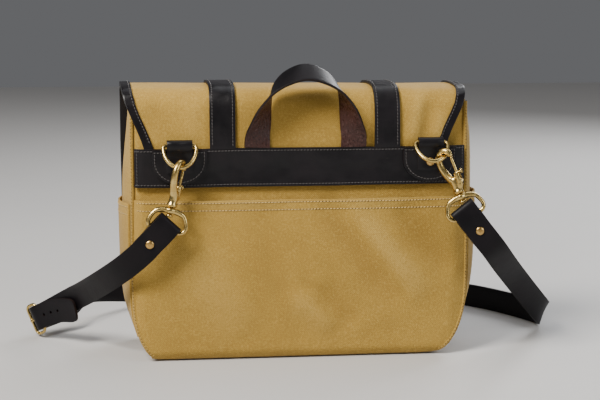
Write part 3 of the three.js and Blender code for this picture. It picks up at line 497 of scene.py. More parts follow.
def outer_face(groups, facing):
    """The broad group that stands furthest out in a direction and looks along it."""
    def reach(group):
        looking = [f for f in group if f.normal.dot(facing) > LOOKING]
        return max((f.calc_center_median().dot(facing) for f in looking), default=-1.0)
    return max((g for g in groups if breadth(g) > BROAD), key=reach)


def rim_runs(group, inset, keep=None):
    """Runs of (point, normal) at an inset inside the rim of a group of faces.

    Where keep is given, they hold only the points for which keep(point, inward) is true.
    """
    members = set(group)
    after = {}
    for face in group:
        for loop in face.loops:
            if not set(loop.edge.link_faces) <= members:
                after[loop.vert] = (loop.link_loop_next.vert, face.normal.copy())
    runs = []
    while after:
        vert = next(iter(after))
        loop_points = []
        while vert in after:
            following, normal = after.pop(vert)
            loop_points.append((vert.co.copy(), normal))
            vert = following
        runs += kept_runs(inset_points(loop_points, inset), keep)
    return runs


def inset_points(rim, inset):
    """A closed rim's points moved inwards along the surface: (point, normal, inward)."""
    made = []
    for i, (point, normal) in enumerate(rim):
        before = (point - rim[i - 1][0]).normalized()
        ahead = (rim[(i + 1) % len(rim)][0] - point).normalized()
        along = (before + ahead).normalized()
        inward = normal.cross(along).normalized()
        made.append((point + inward * inset / max(MITRE, along.dot(ahead)), normal, inward))
    return made


def kept_runs(rim, keep):
    """The stretches of a closed rim whose points are wanted."""
    wanted = [keep is None or keep(p, inward) for p, _, inward in rim]
    if all(wanted):
        return [[(p, n) for p, n, _ in rim + rim[:1]]]
    start = wanted.index(False)
    runs = [[]]
    for i in range(len(rim)):
        at = (start + i) % len(rim)
        if wanted[at]:
            runs[-1].append(rim[at][:2])
        elif runs[-1]:
            runs.append([])
    return [run for run in runs if len(run) > 2]


def cast_run(tree, points, direction):
    """(point, normal) where rays through points, along a direction, meet a surface."""
    run = []
    for point in points:
        place, normal, _, _ = tree.ray_cast(point, direction)
        if place is not None:
            run.append((place, normal))
    return run


def spaced(run, pitch):
    """Even stations along a run: (point, direction, normal)."""
    stations = []
    carried = pitch / 2
    for (a, normal_a), (b, normal_b) in zip(run, run[1:]):
        length = (b - a).length
        while carried < length:
            share = carried / length
            stations.append((a.lerp(b, share), (b - a).normalized(), normal_a.lerp(normal_b, share)))
            carried += pitch
        carried -= length
    return stations


def put(name, mesh, finishes, body=BAG):
    """Makes a mesh a finished piece that rides on a body."""
    mesh.shade_smooth()
    for wanted in finishes:
        mesh.materials.append(finish(wanted))
    piece = bpy.data.objects.new(name, mesh)
    bpy.context.scene.collection.objects.link(piece)
    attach(piece, body)
    return piece


def seat(bm, name, finishes, stands_for=(), body=BAG):
    """Makes a finished piece of a bmesh, on its body, standing for its nodes."""
    mesh = bpy.data.meshes.new(name)
    bm.to_mesh(mesh)
    bm.free()
    piece = put(name, mesh, finishes, body)
    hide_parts(*stands_for)
    return piece


# A stitch and the dark bead of painted shade in a needle hole: length in stitch lengths, width and height in
# threads.
STITCH = (0.8, 1.0, 1.0)
NEEDLE_HOLE_SHADE = (0.42, 1.15, 0.5)
STITCH_RISE = 0.12  # of a thread, above the surface
SLANT = 0.16  # sideways for each step along
SEAM_SLANT = 0.9  # the same where the stitches wrap a rolled seam
# From the edge of each leather piece to its stitches.
STITCH_INSET = {"binding": 1.9 * MM, "band": 2.6 * MM, "strap": 2.7 * MM, "tab": 2.6 * MM}


def bead():
    """The corners and the faces of a round bead that lies along X."""
    bm = bmesh.new()
    bmesh.ops.create_uvsphere(
        bm, u_segments=6, v_segments=4, radius=0.5, matrix=Matrix.Rotation(math.pi / 2, 4, "Y"))
    corners = np.array([v.co for v in bm.verts])
    faces = [[v.index for v in f.verts] for f in bm.faces]
    bm.free()
    return corners, faces


def sew(name, runs, slot="leather", thread="dark thread", slant=SLANT):
    """A piece of stitches along runs on a surface, each a short slanted bead, and dark beads of painted shade
    in the holes between them.
    """
    sizes = settings().thread
    corners, faces = bead()
    stitch_size = (sizes.pitch, sizes.width, sizes.width)
    stitch = corners * np.multiply(STITCH, stitch_size)
    hole_shade = corners * np.multiply(NEEDLE_HOLE_SHADE, stitch_size)
    beads = []
    for place, along, normal in (station for run in runs for station in spaced(run, sizes.pitch)):
        across = normal.cross(along).normalized()
        turned = (along + slant * across).normalized()
        up = turned.cross(across).normalized()
        basis = np.array([turned, up.cross(turned), up])
        beads.append(stitch @ basis + np.array(place + STITCH_RISE * sizes.width * up))
        beads.append(hole_shade @ basis + np.array(place + sizes.pitch / 2 * along))
    mesh = bpy.data.meshes.new(name)
    firsts = range(0, len(beads) * len(corners), len(corners))
    mesh.from_pydata(
        np.concatenate(beads).tolist(), [], [[first + c for c in face] for first in firsts for face in faces])
    # The needle holes are dark beads of painted shade: in the hole colour on canvas, and in the burnished
    # edge leather on leather.
    put(name, mesh, [thread, "hole_shade" if slot == "canvas" else "edge"])
    by_turns = np.tile(np.repeat([0, 1], len(faces)), len(beads) // 2)
    mesh.polygons.foreach_set("material_index", by_turns)


# Canvas

# Soft folds in the walls, in millimetres: a fold's ends, its half width and how far it stands out.
BACK_FOLDS = (
    {"x0": 28, "z0": 158, "x1": 100, "z1": 62, "half": 15, "out": -4.16},
    {"x0": 62, "z0": 152, "x1": 128, "z1": 70, "half": 14, "out": 3.52},
    {"x0": 108, "z0": 152, "x1": 160, "z1": 96, "half": 15, "out": -3.84},
    {"x0": 4, "z0": 82, "x1": 28, "z1": 70, "half": 3.2, "out": -1.44},
    {"x0": 24, "z0": 70, "x1": 60, "z1": 38, "half": 13, "out": -2.56},
    {"x0": -10, "z0": 70, "x1": 36, "z1": 34, "half": 13, "out": 2.4},
    {"x0": -120, "z0": 120, "x1": -60, "z1": 34, "half": 26, "out": 2.08},
    {"x0": -44, "z0": 146, "x1": -12, "z1": 60, "half": 24, "out": -1.92},
)
FLAP_FOLDS = (
    {"x0": 131, "z0": 280, "x1": 122, "z1": 228, "half": 8, "out": 2.6},
    {"x0": 143, "z0": 270, "x1": 136, "z1": 228, "half": 7, "out": -2.2},
    {"x0": 152, "z0": 254, "x1": 147, "z1": 226, "half": 7, "out": 2.4},
    {"x0": -150, "z0": 262, "x1": -128, "z1": 226, "half": 9, "out": -1.4},
    {"x0": -104, "z0": 270, "x1": -108, "z1": 226, "half": 9, "out": 1.2},
    {"x0": -40, "z0": 262, "x1": 50, "z1": 264, "half": 11, "out": -0.7},
)
MOUTH_FOLDS = (
    {"x0": -128, "z0": 172, "x1": -20, "z1": 172, "half": 11, "out": 3.6},
    {"x0": 30, "z0": 172, "x1": 128, "z1": 172, "half": 11, "out": 2.8},
)
DEEP_FOLD = 4 * MM  # a fold that stands out this far gets its full wear and painted highlight on the crest, and full painted shade in the furrow
FOLD_STEP = 6 * MM  # longest edge of the canvas where it folds
FOLD_FULL = 0.35  # of a fold's half length, which has its full depth
FOLD_FADE = 0.9  # of a fold's half length, over which it then fades
WANDER_SCALE = 15.0  # waves to a metre
WANDER_SEED = 7  # keeps the wander the same on each run
FLOOR_FADE = 14 * MM  # below this height the walls wander and fold less
BASE_FLAT = {"left": -126 * MM, "right": 122 * MM, "corner": 32 * MM}  # its ends, and its corners' reach
ROLL = 12 * MM  # radius of the walls' turn under the base
ROLL_REACH = {"from": 28 * MM, "over": 26 * MM}  # from the bag's middle to where the turn is full
POCKET_SAG = {"to": 1.2 * MM, "over": 20 * MM}  # height of its lower edge, and how much of it gives
CANVAS_EDGE = 0.55 * MM  # radius of the canvas's edges
WELT = {"radius": 2.3 * MM, "step": 3 * MM, "sides": 10}  # the rolled seams
FOOT_END = 1 * MM  # what is sewn in above the band ends this far over it
FOOT_REACH = 8 * MM  # over this length it is stretched
FOOT_DROP = 1.8 * MM  # by this much, to reach the band
BROW = {"y": 48.5 * MM, "z": 275 * MM}  # where the flap's crown turns down
GUSSET_CORNER = 140 * MM  # from the middle to where the gusset turns up


def clamped(share):
    """A share held between 0 and 1."""
    return min(1.0, max(0.0, share))


def fold_out(folds, x, z):
    """How far a set of folds moves a wall outwards at a place, in metres."""
    out = 0.0
    for fold in folds:
        start = Vector((fold["x0"], fold["z0"])) * MM
        run = Vector((fold["x1"], fold["z1"])) * MM - start
        place = Vector((x, z)) - start
        share = place.dot(run) / run.length_squared
        off = (place - run * clamped(share)).length / (fold["half"] * MM)
        fade = 1 - clamped((abs(2 * share - 1) - FOLD_FULL) / FOLD_FADE) ** 2
        out += fold["out"] * MM * math.exp(-off * off) * fade
    return out


def soften(bm, folds=(), towards=None):
    """Lets the walls wander, and folds what faces a direction from the bag's middle.

    The attribute that it writes is 1 on the crest of a fold and -1 in its furrow: the canvas pales the
    crests, as wear and painted highlight, and darkens the furrows with painted shade.
    """
    noise.seed_set(WANDER_SEED)
    reach = settings().cloth.wander
    # Kept on each corner: a crest's wear and painted highlight, and a furrow's painted shade.
    fold_wear_and_shade = bm.verts.layers.float.new("fold_wear_and_shade")
    for vert in bm.verts:
        at = vert.co
        free = clamped(at.z / FLOOR_FADE)
        stray = noise.noise_vector(at * WANDER_SCALE) * reach * free
        if towards and at.y * towards.y > 0:
            out = fold_out(folds, at.x, at.z) * free
            stray += towards * out
            vert[fold_wear_and_shade] = max(-1.0, min(1.0, out / DEEP_FOLD))
        vert.co = at + stray
    bm.normal_update()


def slackened(node, levels, twisted=False):
    """A node's solid with smooth faces that wander a little."""
    bm = smoothed(node, levels, twisted=twisted)
    soften(bm)
    return bm


def rolled(at):
    """Where a place on the walls comes to lie once their feet are turned under the base."""
    low = min(ROLL, max(0.0, ROLL - at.z))
    turn = ROLL - math.sqrt(ROLL * ROLL - low * low)
    outward = clamped((abs(at.y) - ROLL_REACH["from"]) / ROLL_REACH["over"])
    return Vector((at.x, at.y - math.copysign(turn * outward, at.y), at.z))


def let_down(bm, top, foot, drop, share_at=None):
    """Stretches what lies between two heights downwards, most at the lower one.

    share_at gives the share of the drop that a place takes, and without it each takes it all.
    """
    for vert in bm.verts:
        share = clamped((top - vert.co.z) / (top - foot))
        vert.co.z -= drop * share * share * (share_at(vert.co) if share_at else 1.0)


def along_base(at):
    """1 over the base's flat, and less where its round corners rise."""
    past = max(0.0, BASE_FLAT["left"] - at.x, at.x - BASE_FLAT["right"]) / BASE_FLAT["corner"]
    return math.sqrt(max(0.0, 1 - past * past))


def behind(at):
    """1 on the back of the bag, and 0 on its front."""
    return 1.0 if at.y < 0 else 0.0


def reach_band(bm, foot, share_at=None):
    """Lets what ends at a height just above the band down to it."""
    let_down(bm, foot + FOOT_REACH, foot, FOOT_DROP, share_at)


def piped(run):
    """A round welt along a run on a surface."""
    places = []
    for place, along, normal in spaced(run, WELT["step"]):
        across = normal.cross(along).normalized()
        turn = Matrix((across, along.cross(across), along)).transposed().to_4x4()
        places.append(Matrix.Translation(place) @ turn)
    bm = bmesh.new()
    bmesh.ops.create_circle(
        bm, cap_ends=False, radius=WELT["radius"], segments=WELT["sides"], matrix=places[0])
    edges = list(bm.edges)
    for before, after in zip(places, places[1:]):
        grown = bmesh.ops.extrude_edge_only(bm, edges=edges)["geom"]
        ring = [item for item in grown if isinstance(item, bmesh.types.BMVert)]
        edges = [item for item in grown if isinstance(item, bmesh.types.BMEdge)
                 and all(v in ring for v in item.verts)]
        bmesh.ops.transform(bm, matrix=after @ before.inverted(), verts=ring)
    bmesh.ops.holes_fill(bm, edges=bm.edges, sides=WELT["sides"])
    bmesh.ops.recalc_face_normals(bm, faces=bm.faces)
    return bm


def round_rims(bm, radius):
    """Rounds the rims of a sheet."""
    rims = [e for e in bm.edges if e.calc_face_angle(0.0) > RIM_ANGLE]
    bmesh.ops.bevel(
        bm, geom=rims, offset=radius, offset_type="OFFSET", segments=2, profile=0.5,
        affect="EDGES", material=-1, clamp_overlap=True)


def lay_weave(bm, flat):
    """Lays the weave on a cloth: flat gives a place's (across, along) on the uncut cloth."""
    weave = bm.loops.layers.uv.new("weave")
    for face in bm.faces:
        for loop in face.loops:
            loop[weave].uv = flat(loop.vert.co)


def flat_wall(at):
    """Across a wall and up it."""
    return at.x, at.z


def flat_flap(at):
    """Up the back, over the crown and down the front."""
    over = max(-BROW["y"], min(BROW["y"], at.y))
    return at.x, over + math.copysign(max(0.0, BROW["z"] - at.z), at.y)


def flat_gusset(at):
    """Along the base and up the sides."""
    base = max(-GUSSET_CORNER, min(GUSSET_CORNER, at.x))
    return at.y, base + math.copysign(at.z, at.x)


def refine(bm, longest):
    """Halves the edges that are longer than a length until none is."""
    coarse = [e for e in bm.edges if e.calc_length() > longest]
    while coarse:
        bmesh.ops.subdivide_edges(bm, edges=coarse, cuts=1, use_grid_fill=True)
        coarse = [e for e in bm.edges if e.calc_length() > longest]
    bm.normal_update()


def canvas_piece(node, flat, folds=(), towards=None,
                 sag=None):
    """A canvas sheet in a node's place."""
    bm = smoothed(node, settings().cloth.smoothing)
    if folds:
        refine(bm, FOLD_STEP)
    if sag:
        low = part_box(node)[0].z
        let_down(bm, low + sag["over"], low, low - sag["to"], along_base)
    soften(bm, folds, towards)
    for vert in bm.verts:
        vert.co = rolled(vert.co)
    bm.normal_update()
    round_rims(bm, CANVAS_EDGE)
    lay_weave(bm, flat)
    piece = seat(bm, node + "_canvas", ["canvas"], [node])
    return piece


def surface_of(piece):
    """A tree of a piece's faces for casting rays at."""
    return BVHTree.FromObject(piece, bpy.context.evaluated_depsgraph_get())


def level_run(tree, z, x0, x1, facing, steps=120):
    """A run at a height across a wall that looks along a direction."""
    across = (Vector((x0 + (x1 - x0) * i / steps, 0, z)) + facing for i in range(steps + 1))
    return cast_run(tree, across, -facing)


class BAG_OT_canvas_shell(bpy.types.Operator):
    """Makes the back, the front and the gusset that joins them"""

    bl_idname = "bag.canvas_shell"
    bl_label = "Canvas Shell"

    BASE_SHARE = 0.88  # of the gusset's length on the floor, because its corners are round
    SEAM_INSET = 0.4 * MM
    WELT_OUT = 1.1 * MM  # from the wall to the welt's middle
    STITCH_OUT = 3.2 * MM  # from the wall to the stitches on the welt
    SEAM_FOOT = 5 * MM  # the seams end at this height
    SIDEWAYS = 0.3  # a rim's inward direction has more than this across the bag at its sides

    def execute(self, context):
        canvas_piece("back_panel", flat_wall, BACK_FOLDS, BACKWARD)
        canvas_piece("front_panel", flat_wall)
        canvas_piece("gusset", flat_gusset)
        runs = []
        for node, facing in (("back_panel", BACKWARD), ("front_panel", FORWARD)):
            bm = slackened(node, 2)
            face = outer_face(groups_of(bm), facing)
            for side, run in enumerate(rim_runs(face, self.SEAM_INSET, self.beside)):
                self.welt(f"{node}_welt_{side}", [(rolled(p) + n * self.WELT_OUT, n) for p, n in run])
                runs.append([(rolled(p) + n * self.STITCH_OUT, n) for p, n in run])
            bm.free()
        sew("seam_stitches", runs, "canvas", "seam thread", SEAM_SLANT)
        return {"FINISHED"}

    def beside(self, place, inward):
        """Whether a place on a wall's rim is at its side, above the base."""
        return place.z > self.SEAM_FOOT and abs(inward.x) > self.SIDEWAYS

    def welt(self, name, run):
        """Makes one rolled seam."""
        bm = piped(run)
        lay_weave(bm, flat_gusset)
        seat(bm, name, ["canvas"])


class BAG_OT_pockets(bpy.types.Operator):
    """Makes the slip pocket on the back and the pockets on the sides, with their hems"""

    bl_idname = "bag.pockets"
    bl_label = "Pockets"

    HEM_ROWS = (2.6 * MM, 10.4 * MM)  # stitches below the mouth
    HEM_END = 3 * MM  # from the slip pocket's side to its hem's stitches
    SIDE_DROP = 1 * MM  # how much lower the side pockets' stitches lie
    SIDE_STEPS = 60  # places across a side pocket, of which the two at each end have no stitches

    def execute(self, context):
        runs = []
        low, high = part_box("back_pocket")
        cut = (high.x - low.x, high.z - low.z)
        pocket = canvas_piece(
            "back_pocket", flat_wall, BACK_FOLDS + MOUTH_FOLDS, BACKWARD,
            sag=POCKET_SAG)
        tree = surface_of(pocket)
        for row in self.HEM_ROWS:
            runs.append(level_run(tree, high.z - row, low.x + self.HEM_END, high.x - self.HEM_END, BACKWARD))
        for side, sign in zip(SIDES, (-1, 1)):
            node = "side_pocket_" + side
            low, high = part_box(node)
            cut = (high.y - low.y, high.z - low.z)
            pocket = canvas_piece(node, flat_gusset)
            tree = surface_of(pocket)
            for row in self.HEM_ROWS:
                z = high.z - row - self.SIDE_DROP
                across = [low.y + cut[0] * i / self.SIDE_STEPS for i in range(2, self.SIDE_STEPS - 1)]
                runs.append(cast_run(tree, [Vector((sign, y, z)) for y in across], Vector((-sign, 0, 0))))
        sew("hem_stitches", runs, "canvas", "pale thread")
        return {"FINISHED"}


class BAG_OT_flap(bpy.types.Operator):
    """Makes the flap and the leather binding that is sewn round its edge"""

    bl_idname = "bag.flap"
    bl_label = "Flap"

    SEWN_AT = 186 * MM  # height on the back from which it rises
    CROWN_SHARE = 0.6  # of its depth, for its way over the crown
    MIDDLE = Vector((0, 0, 0.2))  # a place inside the bag
    EDGEWISE = 0.4  # a group whose normals have less than this across the bag isn't a cut edge
    BINDING_EDGE = 0.6 * MM  # radius of the binding's edges
    BAND_CLEAR = 5 * MM  # from the band to the binding's first stitch

    def execute(self, context):
        canvas_piece("flap", flat_flap, FLAP_FOLDS, BACKWARD)
        bm = slackened("flap_binding", 3)
        runs = []
        for group in groups_of(bm):
            area = sum(f.calc_area() for f in group)
            faces_out = sum(f.calc_area() * f.normal.dot(f.calc_center_median() - self.MIDDLE) for f in group)
            edgewise = sum(f.calc_area() * abs(f.normal.x) for f in group) / area
            if breadth(group) > BROAD and faces_out > 0 and edgewise < self.EDGEWISE:
                runs += rim_runs(group, STITCH_INSET["binding"], self.inner_rim)
        sew("binding_stitches", runs)
        reach_band(bm, BAND_TOP + FOOT_END, behind)
        round_rims(bm, self.BINDING_EDGE)
        seat(bm, "flap_binding_leather", ["binding"], ["flap_binding"])
        return {"FINISHED"}

    def inner_rim(self, place, inward):
        """Whether a place on the binding's rim is on its inner edge, and not close over the band."""
        clear = place.z > BAND_TOP + self.BAND_CLEAR or place.y > 0
        return clear and inward.dot(place - self.MIDDLE) > 0


# Leather

def leather_piece(node, levels=2, finishes=("leather", "edge"), wander=True, twisted=False):
    """A leather strap or patch in a node's place, as a bmesh with its cut edges marked."""
    bm = slackened(node, levels, twisted) if wander else smoothed(node, levels, twisted=twisted)
    for group in groups_of(bm):
        if breadth(group) < BROAD:
            for face in group:
                face.material_index = len(finishes) - 1
    return bm


def seat_leather(bm, node, finishes=("leather", "edge")):
    """Makes a leather piece of a bmesh, with round edges, standing for its node."""
    round_rims(bm, settings().leather.round_edge)
    seat(bm, node + "_leather", finishes, [node])


def middle_of(node):
    """The middle of a node's width."""
    low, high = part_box(node)
    return (low.x + high.x) / 2


class BAG_OT_back_band(bpy.types.Operator):
    """Makes the stitched band across the back"""

    bl_idname = "bag.back_band"
    bl_label = "Back Band"

    def execute(self, context):
        bm = leather_piece("back_band", 3)
        runs = rim_runs(outer_face(groups_of(bm), BACKWARD), STITCH_INSET["band"])
        sew("band_stitches", runs)
        seat_leather(bm, "back_band")
        return {"FINISHED"}


class BAG_OT_handle(bpy.types.Operator):
    """Makes the carrying handle, rough on the side that its legs show"""

    bl_idname = "bag.handle"
    bl_label = "Handle"

    LEGS = 20 * MM  # height of the ends that show which side is which

    def execute(self, context):
        finishes = ("strap", "flesh", "edge")
        bm = leather_piece("handle", 3, finishes, twisted=True)
        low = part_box("handle")[0].z
        reach_band(bm, low)
        for group in groups_of(bm):
            legs = [f for f in group if f.calc_center_median().z < low + self.LEGS]
            looking = sum(f.normal.dot(BACKWARD) * f.calc_area() for f in legs)
            if breadth(group) > BROAD and looking > 0:
                for face in group:
                    face.material_index = finishes.index("flesh")
        seat_leather(bm, "handle", finishes)
        return {"FINISHED"}


class BAG_OT_closing_straps(bpy.types.Operator):
    """Makes the two straps over the flap and the chapes that hold their buckles"""

    bl_idname = "bag.closing_straps"
    bl_label = "Closing Straps"

    SIDEWAYS = 0.7  # a rim's inward direction has more than this across the bag at a strap's sides
    SIDE_LEAST = 8 * MM  # from a strap's middle to its sides, at least

    def execute(self, context):
        runs = []
        for side in SIDES:
            node = "closing_strap_" + side
            bm = leather_piece(node)
            reach_band(bm, BAND_TOP + FOOT_END, behind)
            runs += self.side_runs(bm, middle_of(node))
            seat_leather(bm, node)
            seat_leather(leather_piece("chape_" + side), "chape_" + side)
        sew("strap_stitches", runs)
        return {"FINISHED"}

    def side_runs(self, bm, middle):
        """Runs for the stitches along both sides of a strap."""
        def beside(place, inward):
            return abs(inward.x) > self.SIDEWAYS and abs(place.x - middle) > self.SIDE_LEAST
        return rim_runs(outer_face(groups_of(bm), BACKWARD), STITCH_INSET["strap"], beside)


class BAG_OT_ring_tabs(bpy.types.Operator):
    """Makes the tabs that hold the D-rings"""

    bl_idname = "bag.ring_tabs"
    bl_label = "Ring Tabs"

    LAP = 9.4 * MM  # the stitches run right across a tab only below this
    FOLD_HALF = 16.5 * MM  # and higher up they lie further than this from its middle
    PATCH_WIDTH = 40 * MM  # the group of faces that is a tab's patch is wider than this

    def execute(self, context):
        runs = []
        for side in SIDES:
            node = "ring_tab_" + side
            bm = leather_piece(node, 2, wander=False)
            runs += self.patch_runs(bm, middle_of(node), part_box(node)[0].z + self.LAP)
            seat_leather(bm, node)
        sew("tab_stitches", runs)
        return {"FINISHED"}

    def patch_runs(self, bm, middle, lap):
        """Runs for the stitches round a tab's patch, except where its strap is folded over it."""
        def bare(place, _inward):
            return place.z < lap or abs(place.x - middle) > self.FOLD_HALF
        runs = []
        for group in groups_of(bm):
            facing = sum(f.calc_area() * f.normal.dot(BACKWARD) for f in group)
            across = [v.co.x for f in group for v in f.verts]
            if facing > 0 and max(across) - min(across) > self.PATCH_WIDTH:
                runs += rim_runs(group, STITCH_INSET["tab"], bare)
        return runs


class BAG_OT_shoulder_strap(bpy.types.Operator):
    """Makes the two parts of the shoulder strap"""

    bl_idname = "bag.shoulder_strap"
    bl_label = "Shoulder Strap"

    def execute(self, context):
        for node in STRAPS:
            seat_leather(leather_piece(node, 2, wander=False), node, ("strap", "edge"))
        return {"FINISHED"}


# Brass

# How much each kind of fitting is thickened once it is smoothed.
SWELL = {"ring": 0.34 * MM, "hook": 0.9 * MM, "bolt": 0.2 * MM, "eye": 0.55 * MM, "buckle": 0.3 * MM}
CLOSE = 0.8 * MM  # nearer than this to another fitting, a casting isn't thickened
CLEAR = 2.4 * MM  # further than this from others, it is thickened fully
GAP = 0.26 * MM  # where it would come nearer than this to one, it is moved off
MELT = 16  # passes that melt a casting's facets together
LIGHT_MELT = 8  # the same where its edges stay crisper


def seat_brass(bm, node, look="brass", body=BAG):
    """Makes a brass piece of a bmesh, standing for its node."""
    seat(bm, node + "_brass", [look], [node], body)


def drawn_wire(node, swell):
    """A bent wire, its flats smoothed away and its thickness made good."""
    bm = smoothed(node, 3, creased=False)
    for vert in bm.verts:
        vert.co += vert.normal * swell
    return bm


def cast_piece(node, swell, passes=MELT, clear_of=(), levels=2):
    """A cast fitting, its facets melted together and its bulk made good except close to other nodes.

    Each of those is given with the move that brings it close.
    """
    smoothing = {"levels": levels, "render_levels": levels}
    remesh = {"mode": "VOXEL", "voxel_size": settings().brass.grain, "use_smooth_shade": True}
    smooth = {"factor": 0.5, "iterations": passes}
    bm = after_modifiers(
        solid_of(node, creased=False), ("SUBSURF", smoothing), ("REMESH", remesh), ("SMOOTH", smooth))
    near = []
    for other, moved in clear_of:
        met = solid_of(other)
        met.transform(moved)
        near.append(BVHTree.FromBMesh(met))
        met.free()
    for vert in bm.verts:
        rooms = [tree.find_nearest(vert.co, CLEAR)[3] for tree in near]
        room = min((r for r in rooms if r is not None), default=CLEAR)
        if room > CLOSE:
            vert.co += vert.normal * swell * (room - CLOSE) / (CLEAR - CLOSE)
        else:
            vert.co = kept_off(vert.co, near)
    return bm


def kept_off(place, near):
    """A place moved off the solids that it would touch."""
    for tree in near:
        touch, normal, _, _ = tree.find_nearest(place, CLEAR)
        if touch is not None and (place - touch).dot(normal) < GAP:
            place = touch + normal * GAP
    return place


def moved_by(joint, amount):
    """The move of a joint's child by an amount, in the joint's own unit."""
    axis = Vector(joint["axis"])
    if joint["type"] == "slide":
        return Matrix.Translation(axis * amount)
    pivot = Matrix.Translation(joint["pos_m"])
    return pivot @ Matrix.Rotation(math.radians(amount), 4, axis) @ pivot.inverted()


def moves_of(name):
    """A joint's moves to both its limits, its middle and its rest."""
    joint = next(j for j in frame["joints"] if j["name"] == name)
    low, high = joint.get("range_m") or joint["range_deg"]
    return [moved_by(joint, amount) for amount in (low, (low + high) / 2, high, 0)]


class BAG_OT_hooks(bpy.types.Operator):
    """Makes the D-rings and the swivel hooks with their bolts and eyes"""

    bl_idname = "bag.hooks"
    bl_label = "Rings and Hooks"

    def execute(self, context):
        for side in SIDES:
            ring = "d_ring_" + side
            hook = "hook_" + side
            bolt = "bolt_" + side
            eye = "swivel_eye_" + side
            seat_brass(drawn_wire(ring, SWELL["ring"]), ring)
            turns = moves_of("hook_swivel_" + side)
            slides = moves_of("bolt_slide_" + side)
            met = [(bolt, slide) for slide in slides]
            met += [(other, turn.inverted()) for other in (ring, eye) for turn in turns]
            seat_brass(cast_piece(hook, SWELL["hook"], clear_of=met), hook, body=hook)
            met = [(hook, slide.inverted()) for slide in slides]
            seat_brass(cast_piece(bolt, SWELL["bolt"], LIGHT_MELT, met, levels=0), bolt, body=bolt)
            met = [(hook, turn) for turn in turns] + [(strap, Matrix()) for strap in STRAPS]
            seat_brass(cast_piece(eye, SWELL["eye"], clear_of=met), eye)
        return {"FINISHED"}


class BAG_OT_buckles(bpy.types.Operator):
    """Makes the strap's buckle and the two closing buckles"""

    bl_idname = "bag.buckles"
    bl_label = "Buckles"

    def execute(self, context):
        for node in ("strap_buckle", "closing_buckle_left", "closing_buckle_right"):
            seat_brass(cast_piece(node, SWELL["buckle"], LIGHT_MELT), node)
        return {"FINISHED"}


class BAG_OT_rivets(bpy.types.Operator):
    """Makes the rivets in the tabs and the strap"""

    bl_idname = "bag.rivets"
    bl_label = "Rivets"

    def execute(self, context):
        for place in ("tab", "strap"):
            for side in SIDES:
                node = f"{place}_rivet_{side}"
                seat_brass(smoothed(node, 3), node, "rivet")
        return {"FINISHED"}


# Stage

# Soft lights: place and target in metres, side of the square, power in watts and colour.
LIGHTS = (
    {"name": "key", "place": (-1.42, -1.25, 2.06), "aim": (0, 0, 0.14), "side": 1.0, "watts": 127,
     "colour": (1.0, 0.965, 0.91)},
    {"name": "top", "place": (0.35, 0.45, 1.9), "aim": (0, 0, 0.2), "side": 1.2, "watts": 9,
     "colour": (0.95, 0.97, 1.0)},
    {"name": "fill", "place": (1.6, -1.2, 0.9), "aim": (0.1, 0, 0.15), "side": 1.0, "watts": 14.5,
     "colour": (0.93, 0.96, 1.0)},
    {"name": "rear", "place": (1.3, 1.7, 1.3), "aim": (0, 0.05, 0.1), "side": 1.0, "watts": 34,
     "colour": (0.97, 0.98, 1.0)},
)
SKY = (0.13, 0.132, 0.138, 1.0)
LOOK_AT = Vector((3, -58, 166.5)) * MM
FLOOR_HALF = 4.0  # half the floor's side, in metres


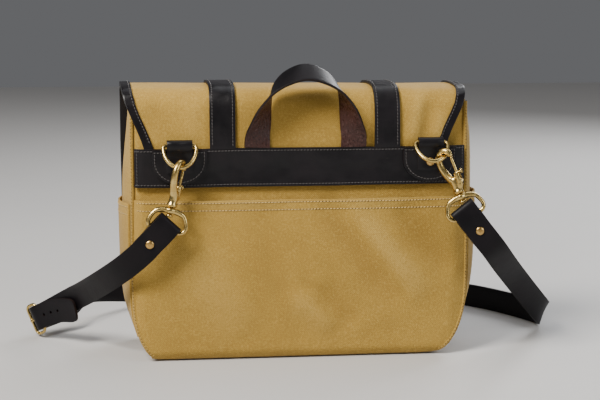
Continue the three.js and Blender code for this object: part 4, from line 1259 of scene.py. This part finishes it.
class BAG_OT_stage(bpy.types.Operator):
    """Makes the floor, the lights and the camera"""

    bl_idname = "bag.stage"
    bl_label = "Stage"

    def execute(self, context):
        stage = settings().stage
        self.floor(stage)
        for light in LIGHTS:
            self.light(**light)
        world = bpy.data.worlds.new("studio")
        world.use_nodes = True
        world.node_tree.nodes["Background"].inputs["Color"].default_value = SKY
        context.scene.world = world
        back = Vector((
            math.sin(stage.azimuth) * math.cos(stage.elevation),
            -math.cos(stage.azimuth) * math.cos(stage.elevation),
            math.sin(stage.elevation)))
        camera = bpy.data.cameras.new("camera")
        camera.sensor_width = SENSOR
        camera.lens = stage.focal * SENSOR / PHOTO_WIDTH
        eye = bpy.data.objects.new("camera", camera)
        eye.location = LOOK_AT + back * stage.distance
        eye.rotation_euler = (-back).to_track_quat("-Z", "Y").to_euler()
        context.scene.collection.objects.link(eye)
        context.scene.camera = eye
        return {"FINISHED"}

    def floor(self, stage):
        """Makes a wide flat floor."""
        bm = bmesh.new()
        bmesh.ops.create_grid(bm, x_segments=1, y_segments=1, size=FLOOR_HALF)
        mesh = bpy.data.meshes.new("floor")
        bm.to_mesh(mesh)
        bm.free()
        made, tree, shader = blank("pale_floor", Roughness=0.6, Specular_IOR_Level=0.3)
        tone = noise_of(tree, object_place(tree), 3.0)
        paler = opaque([min(1.0, v * PALE_FLOOR) for v in stage.floor])
        tree.links.new(mixed(tree, tone, opaque(stage.floor), paler), shader.inputs["Base Color"])
        mesh.materials.append(made)
        floor = bpy.data.objects.new("floor", mesh)
        bpy.context.scene.collection.objects.link(floor)

    def light(self, name, place, aim, side, watts, colour):
        """Makes one soft square light."""
        lamp = bpy.data.lights.new(name, "AREA")
        lamp.size = side
        lamp.energy = watts
        lamp.color = colour
        light = bpy.data.objects.new(name, lamp)
        light.location = place
        light.rotation_euler = (Vector(aim) - Vector(place)).to_track_quat("-Z", "Y").to_euler()
        bpy.context.scene.collection.objects.link(light)


STEPS = (
    BAG_OT_stage,
    BAG_OT_canvas_shell,
    BAG_OT_pockets,
    BAG_OT_flap,
    BAG_OT_back_band,
    BAG_OT_handle,
    BAG_OT_closing_straps,
    BAG_OT_ring_tabs,
    BAG_OT_shoulder_strap,
    BAG_OT_hooks,
    BAG_OT_buckles,
    BAG_OT_rivets,
)


class BAG_PT_sidebar(bpy.types.Panel):
    """Lists the bag's settings and its steps"""

    bl_idname = "BAG_PT_sidebar"
    bl_label = "Canvas Messenger Bag"
    bl_space_type = "VIEW_3D"
    bl_region_type = "UI"
    bl_category = "Bag"

    def draw(self, context):
        chosen = context.scene.bag
        for group in ("cloth", "leather", "brass", "thread", "stage"):
            box = self.layout.box()
            box.label(text=group.title())
            for name in getattr(chosen, group).__annotations__:
                box.prop(getattr(chosen, group), name)
        for step in STEPS:
            self.layout.operator(step.bl_idname)


CLASSES = (
    BagClothSettings,
    BagLeatherSettings,
    BagBrassSettings,
    BagThreadSettings,
    BagStageSettings,
    BagSettings,
    *STEPS,
    BAG_PT_sidebar,
)


def register():
    for each in CLASSES:
        bpy.utils.register_class(each)
    bpy.types.Scene.bag = PointerProperty(type=BagSettings)


def unregister():
    del bpy.types.Scene.bag
    for each in reversed(CLASSES):
        bpy.utils.unregister_class(each)


def main():
    register()
    for step in STEPS:
        group, name = step.bl_idname.split(".")
        getattr(getattr(bpy.ops, group), name)()


if __name__ == "__main__":
    main()
